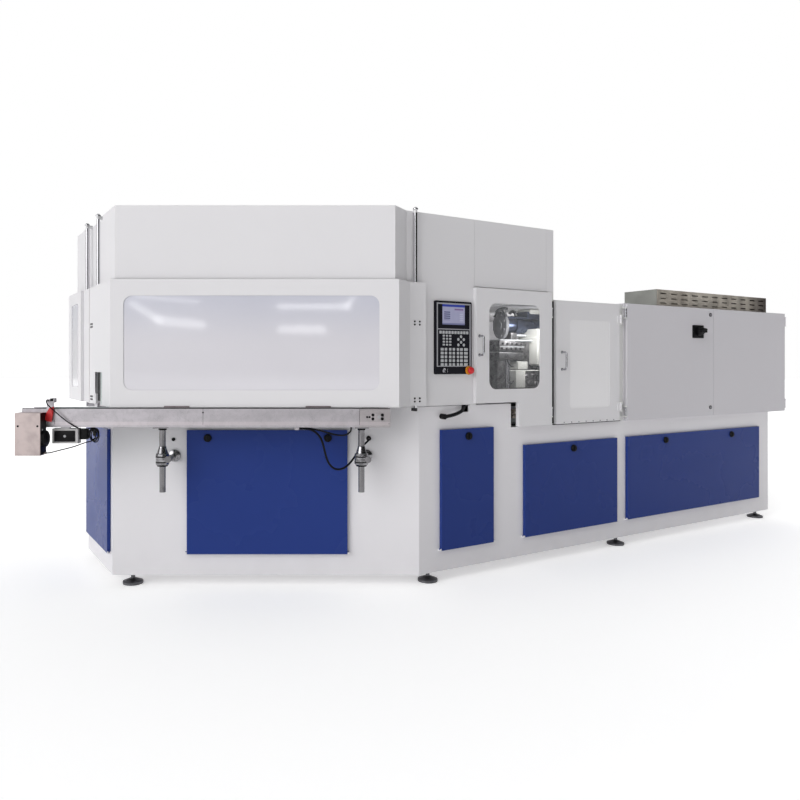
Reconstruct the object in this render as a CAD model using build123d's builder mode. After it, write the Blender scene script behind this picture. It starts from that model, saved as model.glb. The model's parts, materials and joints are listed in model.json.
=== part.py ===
from build123d import *
import math
import os

os.makedirs("parts", exist_ok=True)

# Injection blow moulding machine with three stations round an upright index axis.
# The origin is the index axis at floor level. +X runs along the injection axis, -Y is
# the operator side. The strip station faces the front left, the blow station the back left.

# Plan: how far each face of the base lies from the index axis along its own normal
STATION_ANGLE = 30
HALF_WIDTH = 1245
STATION_FACE = 894
END_FACE = 1190
TAIL_END = 4077
TAIL_FAR = 745
STEP_X = 1100
HEAD_END = 1465

# Heights
BASE_LOW = 65
BED_TOP = 1050
TAIL_TOP = 898
FASCIA_LOW = 1780
FASCIA_HEIGHT = 410
HEAD_TOP = FASCIA_LOW + FASCIA_HEIGHT
PANEL_LOW = 1055
TAIL_COVER_TOP = 1730

# Plate and sheet thicknesses
BASE_WALL = 6
BED_PLATE = 12
SHEET = 3
DOOR_SHEET = 2
PANE = 5
SEAT = 0.3
WELD_GAP = 0.2

# Upper enclosure faces
PANEL_FACE = 1260
END_PANEL = 1200
END_PANEL_HALF = 240
BAY_FACE = 1090
BAY_SIDE = 1223
SEAM_X = 783
HEADER_GROOVE_X = 1400
HEAD_START = 290
GROOVE = 2
TUBE = 50

# Sliding guards
GUARD_LOW = 1062
GUARD_TOP = 1776
GUARD_LIP = 16
GUARD_FACE = 1115
GUARD_SIDE = 1252
GUARD_FLANGE = 1290
GUARD_FLANGE_END = 385
GUARD_WINDOW = (-729, 693, 1157, 1683)
GUARD_WINDOW_RADIUS = 50
GUARD_MEET = 5
PANE_LAP = 22
GRIPS = (-432, 353)
GRIP_LENGTH = 138
GRIP_DEPTH = 14
SLOT_SPAN = (166, 359)
SLOT_TOP = 1255
BLOW_GUARD_FACE = 1161
BLOW_GUARD_SIDE = 1270
BLOW_FOLD = 174
BLOW_WINDOW = (272, 504, 1150, 1700)
BLOW_PANE_HALF = 690

# Guide rods of the guards
ROD_RADIUS = 10
ROD_CAP_RADIUS = 15
ROD_RISE = 8
ROD_TOP = HEAD_TOP + ROD_RISE
ROD_SIDE_X = 320
ROD_SIDE_Y = 1274.5
ROD_END_X = 1232
ROD_END_Y = 165
ROD_FOOT = 1030
ROD_BRACKET = 18
BEARING_FIT = 0.05
BEARING_HALF = 23
BEARING_HEIGHT = 60
BEARING_ROWS = (1066, 1510)
BEARING_BACK = 1214

# Blue base doors: low and high edge along the wall, then low and high edge in height
DOOR_DEPTH = 20
DOOR_GAP = 2
DOOR_LAP = 15
FRONT_DOOR = (-417, 521, 193, 917)
END_DOOR = (-308, 308, 187, 917)
SIDE_DOORS = ((520, 934, 191, 910), (1204, 2103, 187, 781), (2216, 3902, 189, 782))
FRONT_LATCHES = (-295, 406)
END_LATCHES = (0,)
SIDE_LATCHES = ((727,), (1653,), (2648, 3498))
LATCH_DROP = 46
LATCH_RADIUS = 21
LATCH_DEPTH = 12
PEG_RADIUS = 5
PEG_LENGTH = 10
PEG_RISE = 9
PEG_FIT = 0.1
HOOK_WALL = 5

# Levelling feet
FOOT_RADIUS = 60
FOOT_PAD = 14
FOOT_NECK = 30
STEM_RADIUS = 12
NUT_RADIUS = 20
NUT_HEIGHT = 15
FOOT_SPOTS = ((0, 0), (478, -1185), (2189, -1185), (3986, -1185), (-1068, -342),
              (-1068, 342), (478, 1185), (2189, 685), (3986, 685))

# Clamp door with its foot that reaches down beside the notch
CLAMP_DOOR = (770, 1423, GUARD_LOW, 1771)
CLAMP_DOOR_FOOT = (1128, 904)
CLAMP_DOOR_BACK = PANEL_FACE + 1
CLAMP_DOOR_FACE = 1290
CLAMP_WINDOW = (875, 1311, 1146, 1680)
CLAMP_WINDOW_RADIUS = 55
CLAMP_HANDLE = (795, 1352, 1480)
CLAMP_HINGE_X = 1433
CLAMP_HINGE_Y = 1277
CLAMP_KNUCKLES = (985, 1640)

# Nozzle door between the two posts
NOZZLE_DOOR = (1487, 2126, 903, 1725)
NOZZLE_DOOR_BACK = 1246
NOZZLE_DOOR_FACE = 1268
NOZZLE_WINDOW = (1618, 2021, 1002, 1601)
NOZZLE_WINDOW_RADIUS = 28
NOZZLE_HANDLE = (1541, 1261, 1388)
NOZZLE_HINGE_X = 2134
NOZZLE_HINGE_Y = 1274
NOZZLE_KNUCKLES = (1000, 1620)
POST_X = 1432
POST_2_X = 2140

# Hinges and handles
PIN_RADIUS = 3
KNUCKLE_RADIUS = 5.5
KNUCKLE_HEIGHT = 50
HINGE_FIT = 0.05
HANDLE_RADIUS = 6
HANDLE_REACH = 38
HANDLE_BEND = 14

# Electrical cabinet
CABINET = (2190, 4279, 898, 1738)
CABINET_BACK = 860
CABINET_FRONT = 1260
CABINET_SPLIT = 3235
CABINET_DOOR_BACK = 1262
CABINET_DOOR_FACE = 1280
CABINET_EDGE = 3
CABINET_HINGE_OUT = 7
CABINET_DOOR_EDGE = 4
CABINET_HINGE_Y = 1276
CABINET_KNUCKLES = (965, 1667)
CABINET_KNUCKLE_HEIGHT = 64
LOCK_X = 3190
LOCK_HEIGHTS = (964, 1688)
LOCK_RADIUS = 14
LOCK_DEPTH = 6
SWITCH = (2960, 3094, 1503, 1602)
SWITCH_PLATE = 8
SWITCH_KNOB_RADIUS = 30
SWITCH_GRIP = (78, 16, 22)

# Slotted vent box on the cabinet
VENT = (2661, 4160, 133)
VENT_FRONT = 1185
VENT_BACK = 905
VENT_SHEET = 2
VENT_SLOT = (75, 9)
VENT_PITCH = (134, 37)
VENT_GRID = (11, 3)

# Operator panel
PANEL_BOX = (465, 748, 1242, 1679)
PANEL_DEPTH = 13
PANEL_CORNER = 8
SCREEN = (520, 694, 1538, 1662)
SCREEN_DEPTH = 3
KEY_RISE = 1
KEY_BLOCKS = (((607.7, 1492), (22.9, 1), (17, 17)), ((553.8, 1445), (24.7, 17.8), (16, 11)))
KEY_GRIDS = ((10, 1), (3, 4))
KEY_COLUMNS = ((517, 22), (545.4, 18), (578.2, 18), (606, 18), (638, 17), (665.2, 21), (700.3, 28))
KEY_ROWS = (1345.5, 22.8, 16)
KEY_ROW_COUNT = 5
ROUND_KEYS = ((641.6, 1451), (663, 1468), (684.5, 1451), (663, 1434.5), (641.6, 1418), (684.5, 1418))
ROUND_KEY_RADIUS = 9
STOP_X = 725
STOP_Z = 1264
STOP_COLLAR = 24
STOP_RADIUS = 22
STOP_HEAD = 20
STOP_STEM = 8
STOP_TRAVEL = 5
KEY_SWITCH_X = 531
KEY_SWITCH_Z = 1264
KEY_SWITCH_RADIUS = 16
KEY_BOW = (1.5, 12, 25)

# Conveyor, along the strip station face
CONVEYOR_CENTRE = 1047
CONVEYOR_HALF = 83
RAIL_ENDS = (-1285, 752)
RAIL_LOW = 953
RAIL_TOP = 1056
RAIL_SHEET = 4
RAIL_TOP_LIP = 10
RAIL_FOOT_LIP = 22
RAIL_JOINT = -281
BELT_HALF = 68
BELT_THICK = 4
ROLLER_RADIUS = 37
ROLLER_HALF = 70
SHAFT_RADIUS = 10
SHAFT_FIT = 0.05
BELT_FIT = 0.3
DRIVE_ROLLER_S = -1225
TAIL_ROLLER_S = 690
ROLLER_Z = 1010
TENSION_PLATE = (582, 752, 958, 1051)
TENSION_DEPTH = 5
BED_BARS = (-1000, -527, -60, 350, 596)
BAR_HALF = 12

# Drive box, switch box and sensor at the conveyor's left end
DRIVE_BOX = (-1289, -1151, 806, 1037)
DRIVE_BOX_FACE = 1210
SWITCH_BOX = (-1121, -976, 863, 945)
SWITCH_BOX_FACE = 1125
SWITCH_BOX_BACK = 1075
SENSOR_ARM = (-1146, -1106, 968, 1108)
SENSOR_ARM_DEPTH = 6
SENSOR_HEAD = (-1129, -1106, 1090, 1113)
SENSOR_PLUG = (-1139, 1102, 4.5, 12)
DRIVE_PLUG = (1159, 815, 7, 12)

# Posts and arms that carry the conveyor
POSTS = (-527, 596)
POST_RADIUS = 17.5
POST_LOW = 580
POST_PLATE = (72, 76, 8)
ARM_SHIFT = 36
ARM_Z = 767
ARM_RADIUS = 14
ARM_FLANGE = 34
ARM_FLANGE_DEPTH = 12
CLAMP_RADIUS = 33
CLAMP_HEIGHT = 62
CLAMP_FIT = 0.1

# Cable parts
GLAND = (645, 868)
GLAND_RADIUS = 14
GLAND_REACH = 31
CLIP = (222, 247, 936)
CABLE_RADIUS = 5
SENSOR_CABLE_RADIUS = 3
COIL_CENTRE = (-897, 910.7)
COIL_SIZE = (60, 84)
COIL_SECTION = 15
COIL_DEPTH = (1096, 1112)
HOSE_RADIUS = 11

# Index table and its core rods
HUB_RADIUS = 150
TABLE_RADIUS = 360
TABLE_LOW = 1290
TABLE_TOP = 1326
CORE_BAR = (320, 430, 360)
CORE_ROWS = 7
CORE_PITCH = 96
CORE_RADIUS = 10
CORE_REACH = 680
STATION_COUNT = 3

# Mould clamps
MOULD = (436, 700, 320)
LOWER_MOULD_TOP = 1275
UPPER_MOULD_LOW = 1345
PLATEN_LOW = 1560
PLATEN_TOP = 1620
YOKE_LOW = 1930
YOKE_TOP = 1990
COLUMN_RADIUS = 35
COLUMN_HALF = 440
INJECTION_COLUMNS = (800, 1250)
INJECTION_YOKE = (740, 1310, 865)
BLOW_COLUMNS = (790,)
BLOW_YOKE = (420, 850, 568)
PLATEN_EDGE = 60
CYLINDER_RADIUS = 110
ROOF_ROOM = 40
CYLINDER_TOP = HEAD_TOP - ROOF_ROOM
PISTON_RADIUS = 45
COLUMN_FIT = 0.1

# Injection unit
BARREL_Z = 1190
BARREL_RADIUS = 70
NOZZLE_RADIUS = 28
BARREL_START = 860
CARRIAGE = (2100, 3300, 240, 1480)
CARRIAGE_WALL = 30
SLIDE_RAILS = (1750, 3900, 150)
SLIDE_RAIL_SIZE = (40, 32)

# Stripper
STRIPPER = (450, 478, 300, 1195, 1278)
STRIPPER_BARS = (230, 1235, 12.5)
STRIPPER_PILLARS = (404, 424, 850, 870)

SIN = math.sin(math.radians(STATION_ANGLE))
COS = math.cos(math.radians(STATION_ANGLE))
OPERATOR = (0, -1)
STRIP = (-SIN, -COS)
END = (-1, 0)
BLOW = (-SIN, COS)
FAR = (0, 1)
STRIP_RETURN = (SIN, -COS)
BLOW_RETURN = (SIN, COS)

OPERATOR_PLANE = Plane(origin=(0, 0, 0), x_dir=(1, 0, 0), z_dir=(0, -1, 0))
STRIP_PLANE = Plane(origin=(0, 0, 0), x_dir=(COS, -SIN, 0), z_dir=(-SIN, -COS, 0))
END_PLANE = Plane(origin=(0, 0, 0), x_dir=(0, -1, 0), z_dir=(-1, 0, 0))
BLOW_PLANE = Plane(origin=(0, 0, 0), x_dir=(-COS, -SIN, 0), z_dir=(-SIN, COS, 0))


def meet(face_a, out_a, face_b, out_b):
    """The plan point that lies out_a along face_a's normal and out_b along face_b's."""
    (ax, ay), (bx, by) = face_a, face_b
    det = ax * by - ay * bx
    return ((out_a * by - out_b * ay) / det, (ax * out_b - bx * out_a) / det)


def strip_point(along, out, height):
    """A place given along the strip face, out from the index axis and in height."""
    return (along * COS - out * SIN, -along * SIN - out * COS, height)


def prism(points, low, high, mode=Mode.ADD):
    """Upright prism over a plan outline, in the part that is being built."""
    with BuildSketch(Plane.XY.offset(low)) as plan:
        with BuildLine():
            Polyline(*points, close=True)
        make_face()
    extrude(plan.sketch, amount=high - low, mode=mode)


def slab(plane, low, high, edges, radius=0, mode=Mode.ADD):
    """Rectangle on a plane, from low to high out along it, with edges (left, right, bottom, top)."""
    left, right, bottom, top = edges
    with BuildSketch(plane.offset(low)) as outline:
        with Locations(((left + right) / 2, (bottom + top) / 2)):
            if radius:
                RectangleRounded(right - left, top - bottom, radius)
            else:
                Rectangle(right - left, top - bottom)
    extrude(outline.sketch, amount=high - low, mode=mode)


def bar(plane, low, high, spot, radius, mode=Mode.ADD):
    """Round bar on a plane, from low to high out along it."""
    with BuildSketch(plane.offset(low)) as outline:
        with Locations(spot):
            Circle(radius)
    extrude(outline.sketch, amount=high - low, mode=mode)


def band(points_out, points_in, low, high, mode=Mode.ADD):
    """Folded sheet seen in plan, between an outer and an inner line of points."""
    prism(list(points_out) + list(reversed(points_in)), low, high, mode)


def grown(edges, by):
    """Edges moved out by a distance on all four sides."""
    left, right, bottom, top = edges
    return (left - by, right + by, bottom - by, top + by)


def pan(plane, back, face, edges, sheet=DOOR_SHEET):
    """Folded door pan: a face sheet with rims that run back from its edges."""
    slab(plane, back, face, edges)
    slab(plane, back, face - sheet, grown(edges, -sheet), mode=Mode.SUBTRACT)


def door_hooks(plane, wall, edges):
    """Open hooks on a base wall that hold the two pegs of a base door."""
    left, right, bottom, top = edges
    axis = wall + DOOR_GAP + DOOR_DEPTH / 2
    height = bottom + PEG_RISE
    reach = PEG_RADIUS + PEG_FIT + HOOK_WALL
    for start in (left - 1 - PEG_LENGTH, right + 1):
        span = (start, start + PEG_LENGTH)
        slab(plane, wall - SEAT / 2, axis + reach, (*span, height - reach, height + 2))
        slab(plane, axis - PEG_RADIUS - PEG_FIT, axis + PEG_RADIUS + PEG_FIT,
             (span[0] - 1, span[1] + 1, height, height + 3), mode=Mode.SUBTRACT)
        with BuildSketch(Plane(origin=plane.from_local_coords((span[0] - 1, height, axis)),
                               z_dir=plane.x_dir)) as seat:
            Circle(PEG_RADIUS + PEG_FIT)
        extrude(seat.sketch, amount=PEG_LENGTH + 2, mode=Mode.SUBTRACT)


def base_door(plane, wall, edges, latches):
    """Base door: pan, two pegs low on its sides and round latch knobs near its top."""
    left, right, bottom, top = edges
    back = wall + DOOR_GAP
    face = back + DOOR_DEPTH
    pan(plane, back, face, edges)
    side = Plane(origin=plane.from_local_coords((left - PEG_LENGTH, bottom + PEG_RISE,
                                                 back + DOOR_DEPTH / 2)), z_dir=plane.x_dir)
    for start in (0, right - left + PEG_LENGTH):
        with BuildSketch(side.offset(start)) as peg:
            Circle(PEG_RADIUS)
        extrude(peg.sketch, amount=PEG_LENGTH)
    for place in latches:
        bar(plane, face, face + LATCH_DEPTH, (place, top - LATCH_DROP), LATCH_RADIUS)
        slab(plane, face + LATCH_DEPTH, face + LATCH_DEPTH + 6,
             (place - 4, place + 4, top - LATCH_DROP - 15, top - LATCH_DROP + 15))


def knuckles(centre, heights, length):
    """Hinge knuckles of a door, on the pins of its frame."""
    for height in heights:
        with BuildSketch(Plane.XY.offset(height - length / 2)) as ring:
            with Locations(centre):
                Circle(KNUCKLE_RADIUS)
        extrude(ring.sketch, amount=length)


def pin_bores(centre, heights, length):
    """Bores through a door's hinge knuckles."""
    for height in heights:
        with BuildSketch(Plane.XY.offset(height - length / 2 - 1)) as hole:
            with Locations(centre):
                Circle(PIN_RADIUS + HINGE_FIT)
        extrude(hole.sketch, amount=length + 2, mode=Mode.SUBTRACT)


def hinge_pins(centre, heights, length, back_y, lug_span):
    """Pins with a lug above and below each knuckle, on the frame behind the door."""
    lug = 8
    for height in heights:
        low = height - length / 2 - WELD_GAP - lug
        high = height + length / 2 + WELD_GAP
        with BuildSketch(Plane.XY.offset(low)) as pin:
            with Locations(centre):
                Circle(PIN_RADIUS)
        extrude(pin.sketch, amount=length + 2 * WELD_GAP + 2 * lug)
        for start in (low, high):
            prism([(lug_span[0], centre[1] - KNUCKLE_RADIUS), (lug_span[1], centre[1] - KNUCKLE_RADIUS),
                   (lug_span[1], back_y), (lug_span[0], back_y)], start, start + lug)


def pull_handle(plane, face, place):
    """D shaped pull handle, bent from one bar, standing on a door's face."""
    along, low, high = place
    out = face + SEAT / 10 + HANDLE_REACH
    with BuildLine() as path:
        FilletPolyline(plane.from_local_coords((along, low + HANDLE_RADIUS, face)),
                       plane.from_local_coords((along, low + HANDLE_RADIUS, out)),
                       plane.from_local_coords((along, high - HANDLE_RADIUS, out)),
                       plane.from_local_coords((along, high - HANDLE_RADIUS, face)),
                       radius=HANDLE_BEND)
    with BuildSketch(Plane(origin=path.line @ 0, z_dir=path.line % 0)) as section:
        Circle(HANDLE_RADIUS)
    sweep(section.sketch, path=path.line)


def cord_radii(points):
    """Radius for each corner of a cord's route: 0.45 of the shorter run over the half turn's tangent."""
    radii = []
    for before, here, after in zip(points, points[1:], points[2:]):
        run_in = Vector(*here) - Vector(*before)
        run_out = Vector(*after) - Vector(*here)
        half_turn = math.radians(run_in.get_angle(run_out)) / 2
        radii.append(0.45 * min(run_in.length, run_out.length) / math.tan(half_turn))
    return radii


def cord_tube(name, points, radius):
    """Round tube along a cord's route, in the part that is being built."""
    radii = cord_radii(points)
    print(name, "radii", [round(value) for value in radii])
    with BuildLine() as path:
        FilletPolyline(*points, radius=radii)
    with BuildSketch(Plane(origin=path.line @ 0, z_dir=path.line % 0)) as section:
        Circle(radius)
    tube = sweep(section.sketch, path=path.line)
    length = sum(edge.length for edge in path.edges())
    ratio = tube.volume / (math.pi * radius ** 2 * length)
    print(name, "length", round(length), "volume ratio", round(ratio, 3))


def finish(part, name):
    """Labels a finished piece and writes its file."""
    part.label = name
    export_step(part, f"parts/{name}.step")


# Base walls: plan corners of the outer and the inner face
inner = BASE_WALL
corner_a = meet(OPERATOR, HALF_WIDTH, STRIP, STATION_FACE)
corner_b = meet(STRIP, STATION_FACE, END, END_FACE)
corner_c = meet(END, END_FACE, BLOW, STATION_FACE)
corner_d = meet(BLOW, STATION_FACE, FAR, HALF_WIDTH)
inner_a = meet(OPERATOR, HALF_WIDTH - inner, STRIP, STATION_FACE - inner)
inner_b = meet(STRIP, STATION_FACE - inner, END, END_FACE - inner)
inner_c = meet(END, END_FACE - inner, BLOW, STATION_FACE - inner)
inner_d = meet(BLOW, STATION_FACE - inner, FAR, HALF_WIDTH - inner)

HOSE_BOSS = (536, 990, 8)
HOSE_NOTCH = (690, 746, 1010)
HOSE_NOTCH_DEPTH = 45

with BuildPart() as base_operator_wall:
    ends = [(TAIL_END, -HALF_WIDTH), (TAIL_END, -HALF_WIDTH + inner)]
    prism([corner_a, *ends, inner_a], BASE_LOW, TAIL_TOP)
    step = [(STEP_X, -HALF_WIDTH), (STEP_X, -HALF_WIDTH + inner)]
    prism([corner_a, *step, inner_a], TAIL_TOP, BED_TOP)
    for door in SIDE_DOORS:
        slab(OPERATOR_PLANE, HALF_WIDTH - 2 * inner, HALF_WIDTH + 1, grown(door, -DOOR_LAP),
             mode=Mode.SUBTRACT)
        door_hooks(OPERATOR_PLANE, HALF_WIDTH, door)
    bar(OPERATOR_PLANE, HALF_WIDTH, HALF_WIDTH + HOSE_BOSS[2], HOSE_BOSS[:2], HOSE_RADIUS + 5)
    slab(OPERATOR_PLANE, HALF_WIDTH - 2 * inner, HALF_WIDTH + 1,
         (HOSE_NOTCH[0], HOSE_NOTCH[1], HOSE_NOTCH[2], BED_TOP + 1), mode=Mode.SUBTRACT)
finish(base_operator_wall.part, "base_operator_wall")

with BuildPart() as base_front_wall:
    prism([corner_a, corner_b, inner_b, inner_a], BASE_LOW, BED_TOP)
    slab(STRIP_PLANE, STATION_FACE - 2 * inner, STATION_FACE + 1, grown(FRONT_DOOR, -DOOR_LAP),
         mode=Mode.SUBTRACT)
    door_hooks(STRIP_PLANE, STATION_FACE, FRONT_DOOR)
    bar(STRIP_PLANE, STATION_FACE - 2 * inner, STATION_FACE + 1, GLAND,
        GLAND_RADIUS - 4, mode=Mode.SUBTRACT)
finish(base_front_wall.part, "base_front_wall")

with BuildPart() as base_end_wall:
    prism([corner_b, corner_c, inner_c, inner_b], BASE_LOW, BED_TOP)
    slab(END_PLANE, END_FACE - 2 * inner, END_FACE + 1, grown(END_DOOR, -DOOR_LAP),
         mode=Mode.SUBTRACT)
    door_hooks(END_PLANE, END_FACE, END_DOOR)
finish(base_end_wall.part, "base_end_wall")

with BuildPart() as base_rear_tray:
    far_outer = [(HEAD_END, HALF_WIDTH), (HEAD_END, TAIL_FAR), (TAIL_END, TAIL_FAR)]
    far_inner = [(HEAD_END - inner, HALF_WIDTH - inner), (HEAD_END - inner, TAIL_FAR - inner),
                 (TAIL_END - inner, TAIL_FAR - inner)]
    tail_outer = (TAIL_END, -HALF_WIDTH + inner)
    tail_inner = (TAIL_END - inner, -HALF_WIDTH + inner)
    band([corner_c, corner_d, *far_outer, tail_outer],
         [inner_c, inner_d, *far_inner, tail_inner], BASE_LOW, TAIL_TOP)
    band([corner_c, corner_d, (STEP_X, HALF_WIDTH)],
         [inner_c, inner_d, (STEP_X, HALF_WIDTH - inner)], TAIL_TOP, BED_TOP)
    floor_points = [inner_a, inner_b, inner_c, inner_d, *far_inner, tail_inner]
    prism(floor_points, BASE_LOW, BASE_LOW + inner)
finish(base_rear_tray.part, "base_rear_tray")

# Machine bed, as solids that meet at their welds: the raised plate of the head, the lower plates
# of the tail, the step between them, the index table's hub, the carriage rails and the
# stripper's guide bars
with BuildPart() as base_bed:
    prism([inner_a, inner_b, inner_c, inner_d, (STEP_X, HALF_WIDTH - inner),
           (STEP_X, -HALF_WIDTH + inner)], BED_TOP - BED_PLATE, BED_TOP)
    prism([(STEP_X - BED_PLATE, -HALF_WIDTH + inner), (STEP_X, -HALF_WIDTH + inner),
           (STEP_X, HALF_WIDTH - inner), (STEP_X - BED_PLATE, HALF_WIDTH - inner)],
          TAIL_TOP - BED_PLATE, BED_TOP - BED_PLATE - WELD_GAP)
    tail_start = STEP_X + WELD_GAP
    prism([(tail_start, -HALF_WIDTH + inner), (TAIL_END - inner, -HALF_WIDTH + inner),
           (TAIL_END - inner, TAIL_FAR - inner), (tail_start, TAIL_FAR - inner)],
          TAIL_TOP - BED_PLATE, TAIL_TOP)
    prism([(tail_start, TAIL_FAR - inner + WELD_GAP), (HEAD_END - inner, TAIL_FAR - inner + WELD_GAP),
           (HEAD_END - inner, HALF_WIDTH - inner), (tail_start, HALF_WIDTH - inner)],
          TAIL_TOP - BED_PLATE, TAIL_TOP)
    slab(OPERATOR_PLANE, HALF_WIDTH - HOSE_NOTCH_DEPTH, HALF_WIDTH,
         (HOSE_NOTCH[0], HOSE_NOTCH[1], HOSE_NOTCH[2], BED_TOP + 1), mode=Mode.SUBTRACT)
    bar(Plane.XY, BED_TOP + WELD_GAP, TABLE_LOW - SEAT, (0, 0), HUB_RADIUS)
    for side in (-1, 1):
        middle = side * SLIDE_RAILS[2]
        prism([(SLIDE_RAILS[0], middle - SLIDE_RAIL_SIZE[0] / 2),
               (SLIDE_RAILS[1], middle - SLIDE_RAIL_SIZE[0] / 2),
               (SLIDE_RAILS[1], middle + SLIDE_RAIL_SIZE[0] / 2),
               (SLIDE_RAILS[0], middle + SLIDE_RAIL_SIZE[0] / 2)],
              TAIL_TOP + WELD_GAP, TAIL_TOP + SLIDE_RAIL_SIZE[1])
        spot = (side * STRIPPER_BARS[0], STRIPPER_BARS[1])
        for start, stop in (STRIPPER_PILLARS[:2], STRIPPER_PILLARS[2:]):
            slab(STRIP_PLANE, start, stop,
                 (spot[0] - 25, spot[0] + 25, BED_TOP + WELD_GAP, spot[1] + 25))
        bar(STRIP_PLANE, STRIPPER_PILLARS[1], STRIPPER_PILLARS[2], spot, STRIPPER_BARS[2])
finish(base_bed.part, "base_bed")

with BuildPart() as levelling_feet:
    with BuildSketch(Plane.XZ) as foot_profile:
        with BuildLine():
            Polyline((0, 0), (FOOT_RADIUS, 0), (FOOT_RADIUS, FOOT_PAD), (NUT_RADIUS, FOOT_NECK),
                     (STEM_RADIUS, FOOT_NECK), (STEM_RADIUS, BASE_LOW - NUT_HEIGHT),
                     (NUT_RADIUS, BASE_LOW - NUT_HEIGHT), (NUT_RADIUS, BASE_LOW), (0, BASE_LOW),
                     close=True)
        make_face()
    foot = revolve(foot_profile.sketch, axis=Axis.Z, mode=Mode.PRIVATE)
    for place in FOOT_SPOTS:
        with Locations(place):
            add(foot)
finish(levelling_feet.part, "levelling_feet")

# Welded tube frame of the upper enclosure, as separate tubes that meet at their welds
beam_low = HEAD_TOP - SHEET - TUBE
skin = HALF_WIDTH
with BuildPart() as enclosure_frame:
    for side in (-1, 1):
        for start, low in ((HEAD_START, BED_TOP), (SEAM_X - TUBE / 2, BED_TOP), (POST_X, TAIL_TOP)):
            near, far = side * skin, side * (skin - TUBE)
            prism([(start, near), (start + TUBE, near), (start + TUBE, far), (start, far)],
                  low + WELD_GAP, beam_low - WELD_GAP)
        prism([(HEAD_START, near), (POST_X + TUBE, near), (POST_X + TUBE, far), (HEAD_START, far)],
              beam_low, beam_low + TUBE)
        end_low, end_high = side * (END_PANEL_HALF - TUBE), side * END_PANEL_HALF
        end_x = -END_PANEL + SHEET
        prism([(end_x, end_low), (end_x + TUBE, end_low), (end_x + TUBE, end_high),
               (end_x, end_high)], BED_TOP + WELD_GAP, beam_low - WELD_GAP)
    prism([(end_x, -END_PANEL_HALF), (end_x + TUBE, -END_PANEL_HALF),
           (end_x + TUBE, END_PANEL_HALF), (end_x, END_PANEL_HALF)], beam_low, beam_low + TUBE)
    prism([(POST_X, -skin + TUBE + WELD_GAP), (POST_X + TUBE, -skin + TUBE + WELD_GAP),
           (POST_X + TUBE, skin - TUBE - WELD_GAP), (POST_X, skin - TUBE - WELD_GAP)],
          beam_low, beam_low + TUBE)
    header_start = SEAM_X + TUBE / 2 + WELD_GAP
    prism([(header_start, -skin), (POST_X - WELD_GAP, -skin), (POST_X - WELD_GAP, -skin + TUBE),
           (header_start, -skin + TUBE)], FASCIA_LOW, FASCIA_LOW + TUBE)
    prism([(POST_2_X, -skin), (POST_2_X + TUBE, -skin), (POST_2_X + TUBE, -skin + TUBE),
           (POST_2_X, -skin + TUBE)], TAIL_TOP + WELD_GAP, TAIL_COVER_TOP - SHEET - WELD_GAP)
    tail_beam = TAIL_COVER_TOP - SHEET - WELD_GAP
    prism([(POST_X + TUBE + WELD_GAP, -skin + 10), (POST_2_X - WELD_GAP, -skin + 10),
           (POST_2_X - WELD_GAP, -skin + TUBE), (POST_X + TUBE + WELD_GAP, -skin + TUBE)],
          tail_beam - TUBE, tail_beam)
    for face, side_return in ((STRIP, STRIP_RETURN), (BLOW, BLOW_RETURN)):
        out_low, out_high = BAY_FACE - SHEET - TUBE, BAY_FACE - SHEET
        band([meet(face, out_high, side_return, BAY_SIDE - 4), meet(face, out_high, END, BAY_SIDE - 4)],
             [meet(face, out_low, side_return, BAY_SIDE - 4), meet(face, out_low, END, BAY_SIDE - 4)],
             beam_low, beam_low + TUBE)
    hinge_pins((CLAMP_HINGE_X, -CLAMP_HINGE_Y), CLAMP_KNUCKLES, KNUCKLE_HEIGHT, -skin + 1,
               (CLAMP_HINGE_X - KNUCKLE_RADIUS, CLAMP_HINGE_X + KNUCKLE_RADIUS + 2))
    hinge_pins((NOZZLE_HINGE_X, -NOZZLE_HINGE_Y), NOZZLE_KNUCKLES, KNUCKLE_HEIGHT, -skin + 1,
               (NOZZLE_HINGE_X - 4, POST_2_X + 6))
    hinge_pins((CABINET[0] - CABINET_HINGE_OUT, -CABINET_HINGE_Y), CABINET_KNUCKLES,
               CABINET_KNUCKLE_HEIGHT, -skin + 1,
               (CABINET[0] - CABINET_HINGE_OUT - KNUCKLE_RADIUS,
                CABINET[0] - CABINET_HINGE_OUT + KNUCKLE_RADIUS))
finish(enclosure_frame.part, "enclosure_frame")

# Skins of the upper enclosure
panel_back = skin
with BuildPart() as head_side_panel:
    panel_start = meet(OPERATOR, PANEL_FACE, STRIP_RETURN, BAY_SIDE)[0] + 1
    side_edges = (panel_start, SEAM_X - 1, PANEL_LOW, HEAD_TOP)
    pan(OPERATOR_PLANE, panel_back, PANEL_FACE, side_edges, SHEET)
    slab(OPERATOR_PLANE, panel_back - 1, PANEL_FACE - SHEET,
         (HOSE_NOTCH[0], HOSE_NOTCH[1], PANEL_LOW - 1, PANEL_LOW + 2 * SHEET), mode=Mode.SUBTRACT)
finish(head_side_panel.part, "head_side_panel")

with BuildPart() as head_door_header:
    header_edges = (SEAM_X + 1, HEAD_END, FASCIA_LOW, HEAD_TOP)
    pan(OPERATOR_PLANE, panel_back, PANEL_FACE, header_edges, SHEET)
    slab(OPERATOR_PLANE, PANEL_FACE - 1.5, PANEL_FACE + 1,
         (HEADER_GROOVE_X, HEADER_GROOVE_X + GROOVE, FASCIA_LOW - 1, HEAD_TOP + 1),
         mode=Mode.SUBTRACT)
finish(head_door_header.part, "head_door_header")


def fascia(face, side_return, flank, side):
    """Folded sheet round a station bay: side return, face and end return."""
    line = []
    for out in (0, SHEET):
        line.append([meet(side_return, BAY_SIDE - out, flank, PANEL_FACE),
                     meet(face, BAY_FACE - out, side_return, BAY_SIDE - out),
                     meet(face, BAY_FACE - out, END, BAY_SIDE - out),
                     (-BAY_SIDE + out, side * (END_PANEL_HALF + 1))])
    outer, inside = line
    band(outer, inside, FASCIA_LOW, HEAD_TOP)


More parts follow.
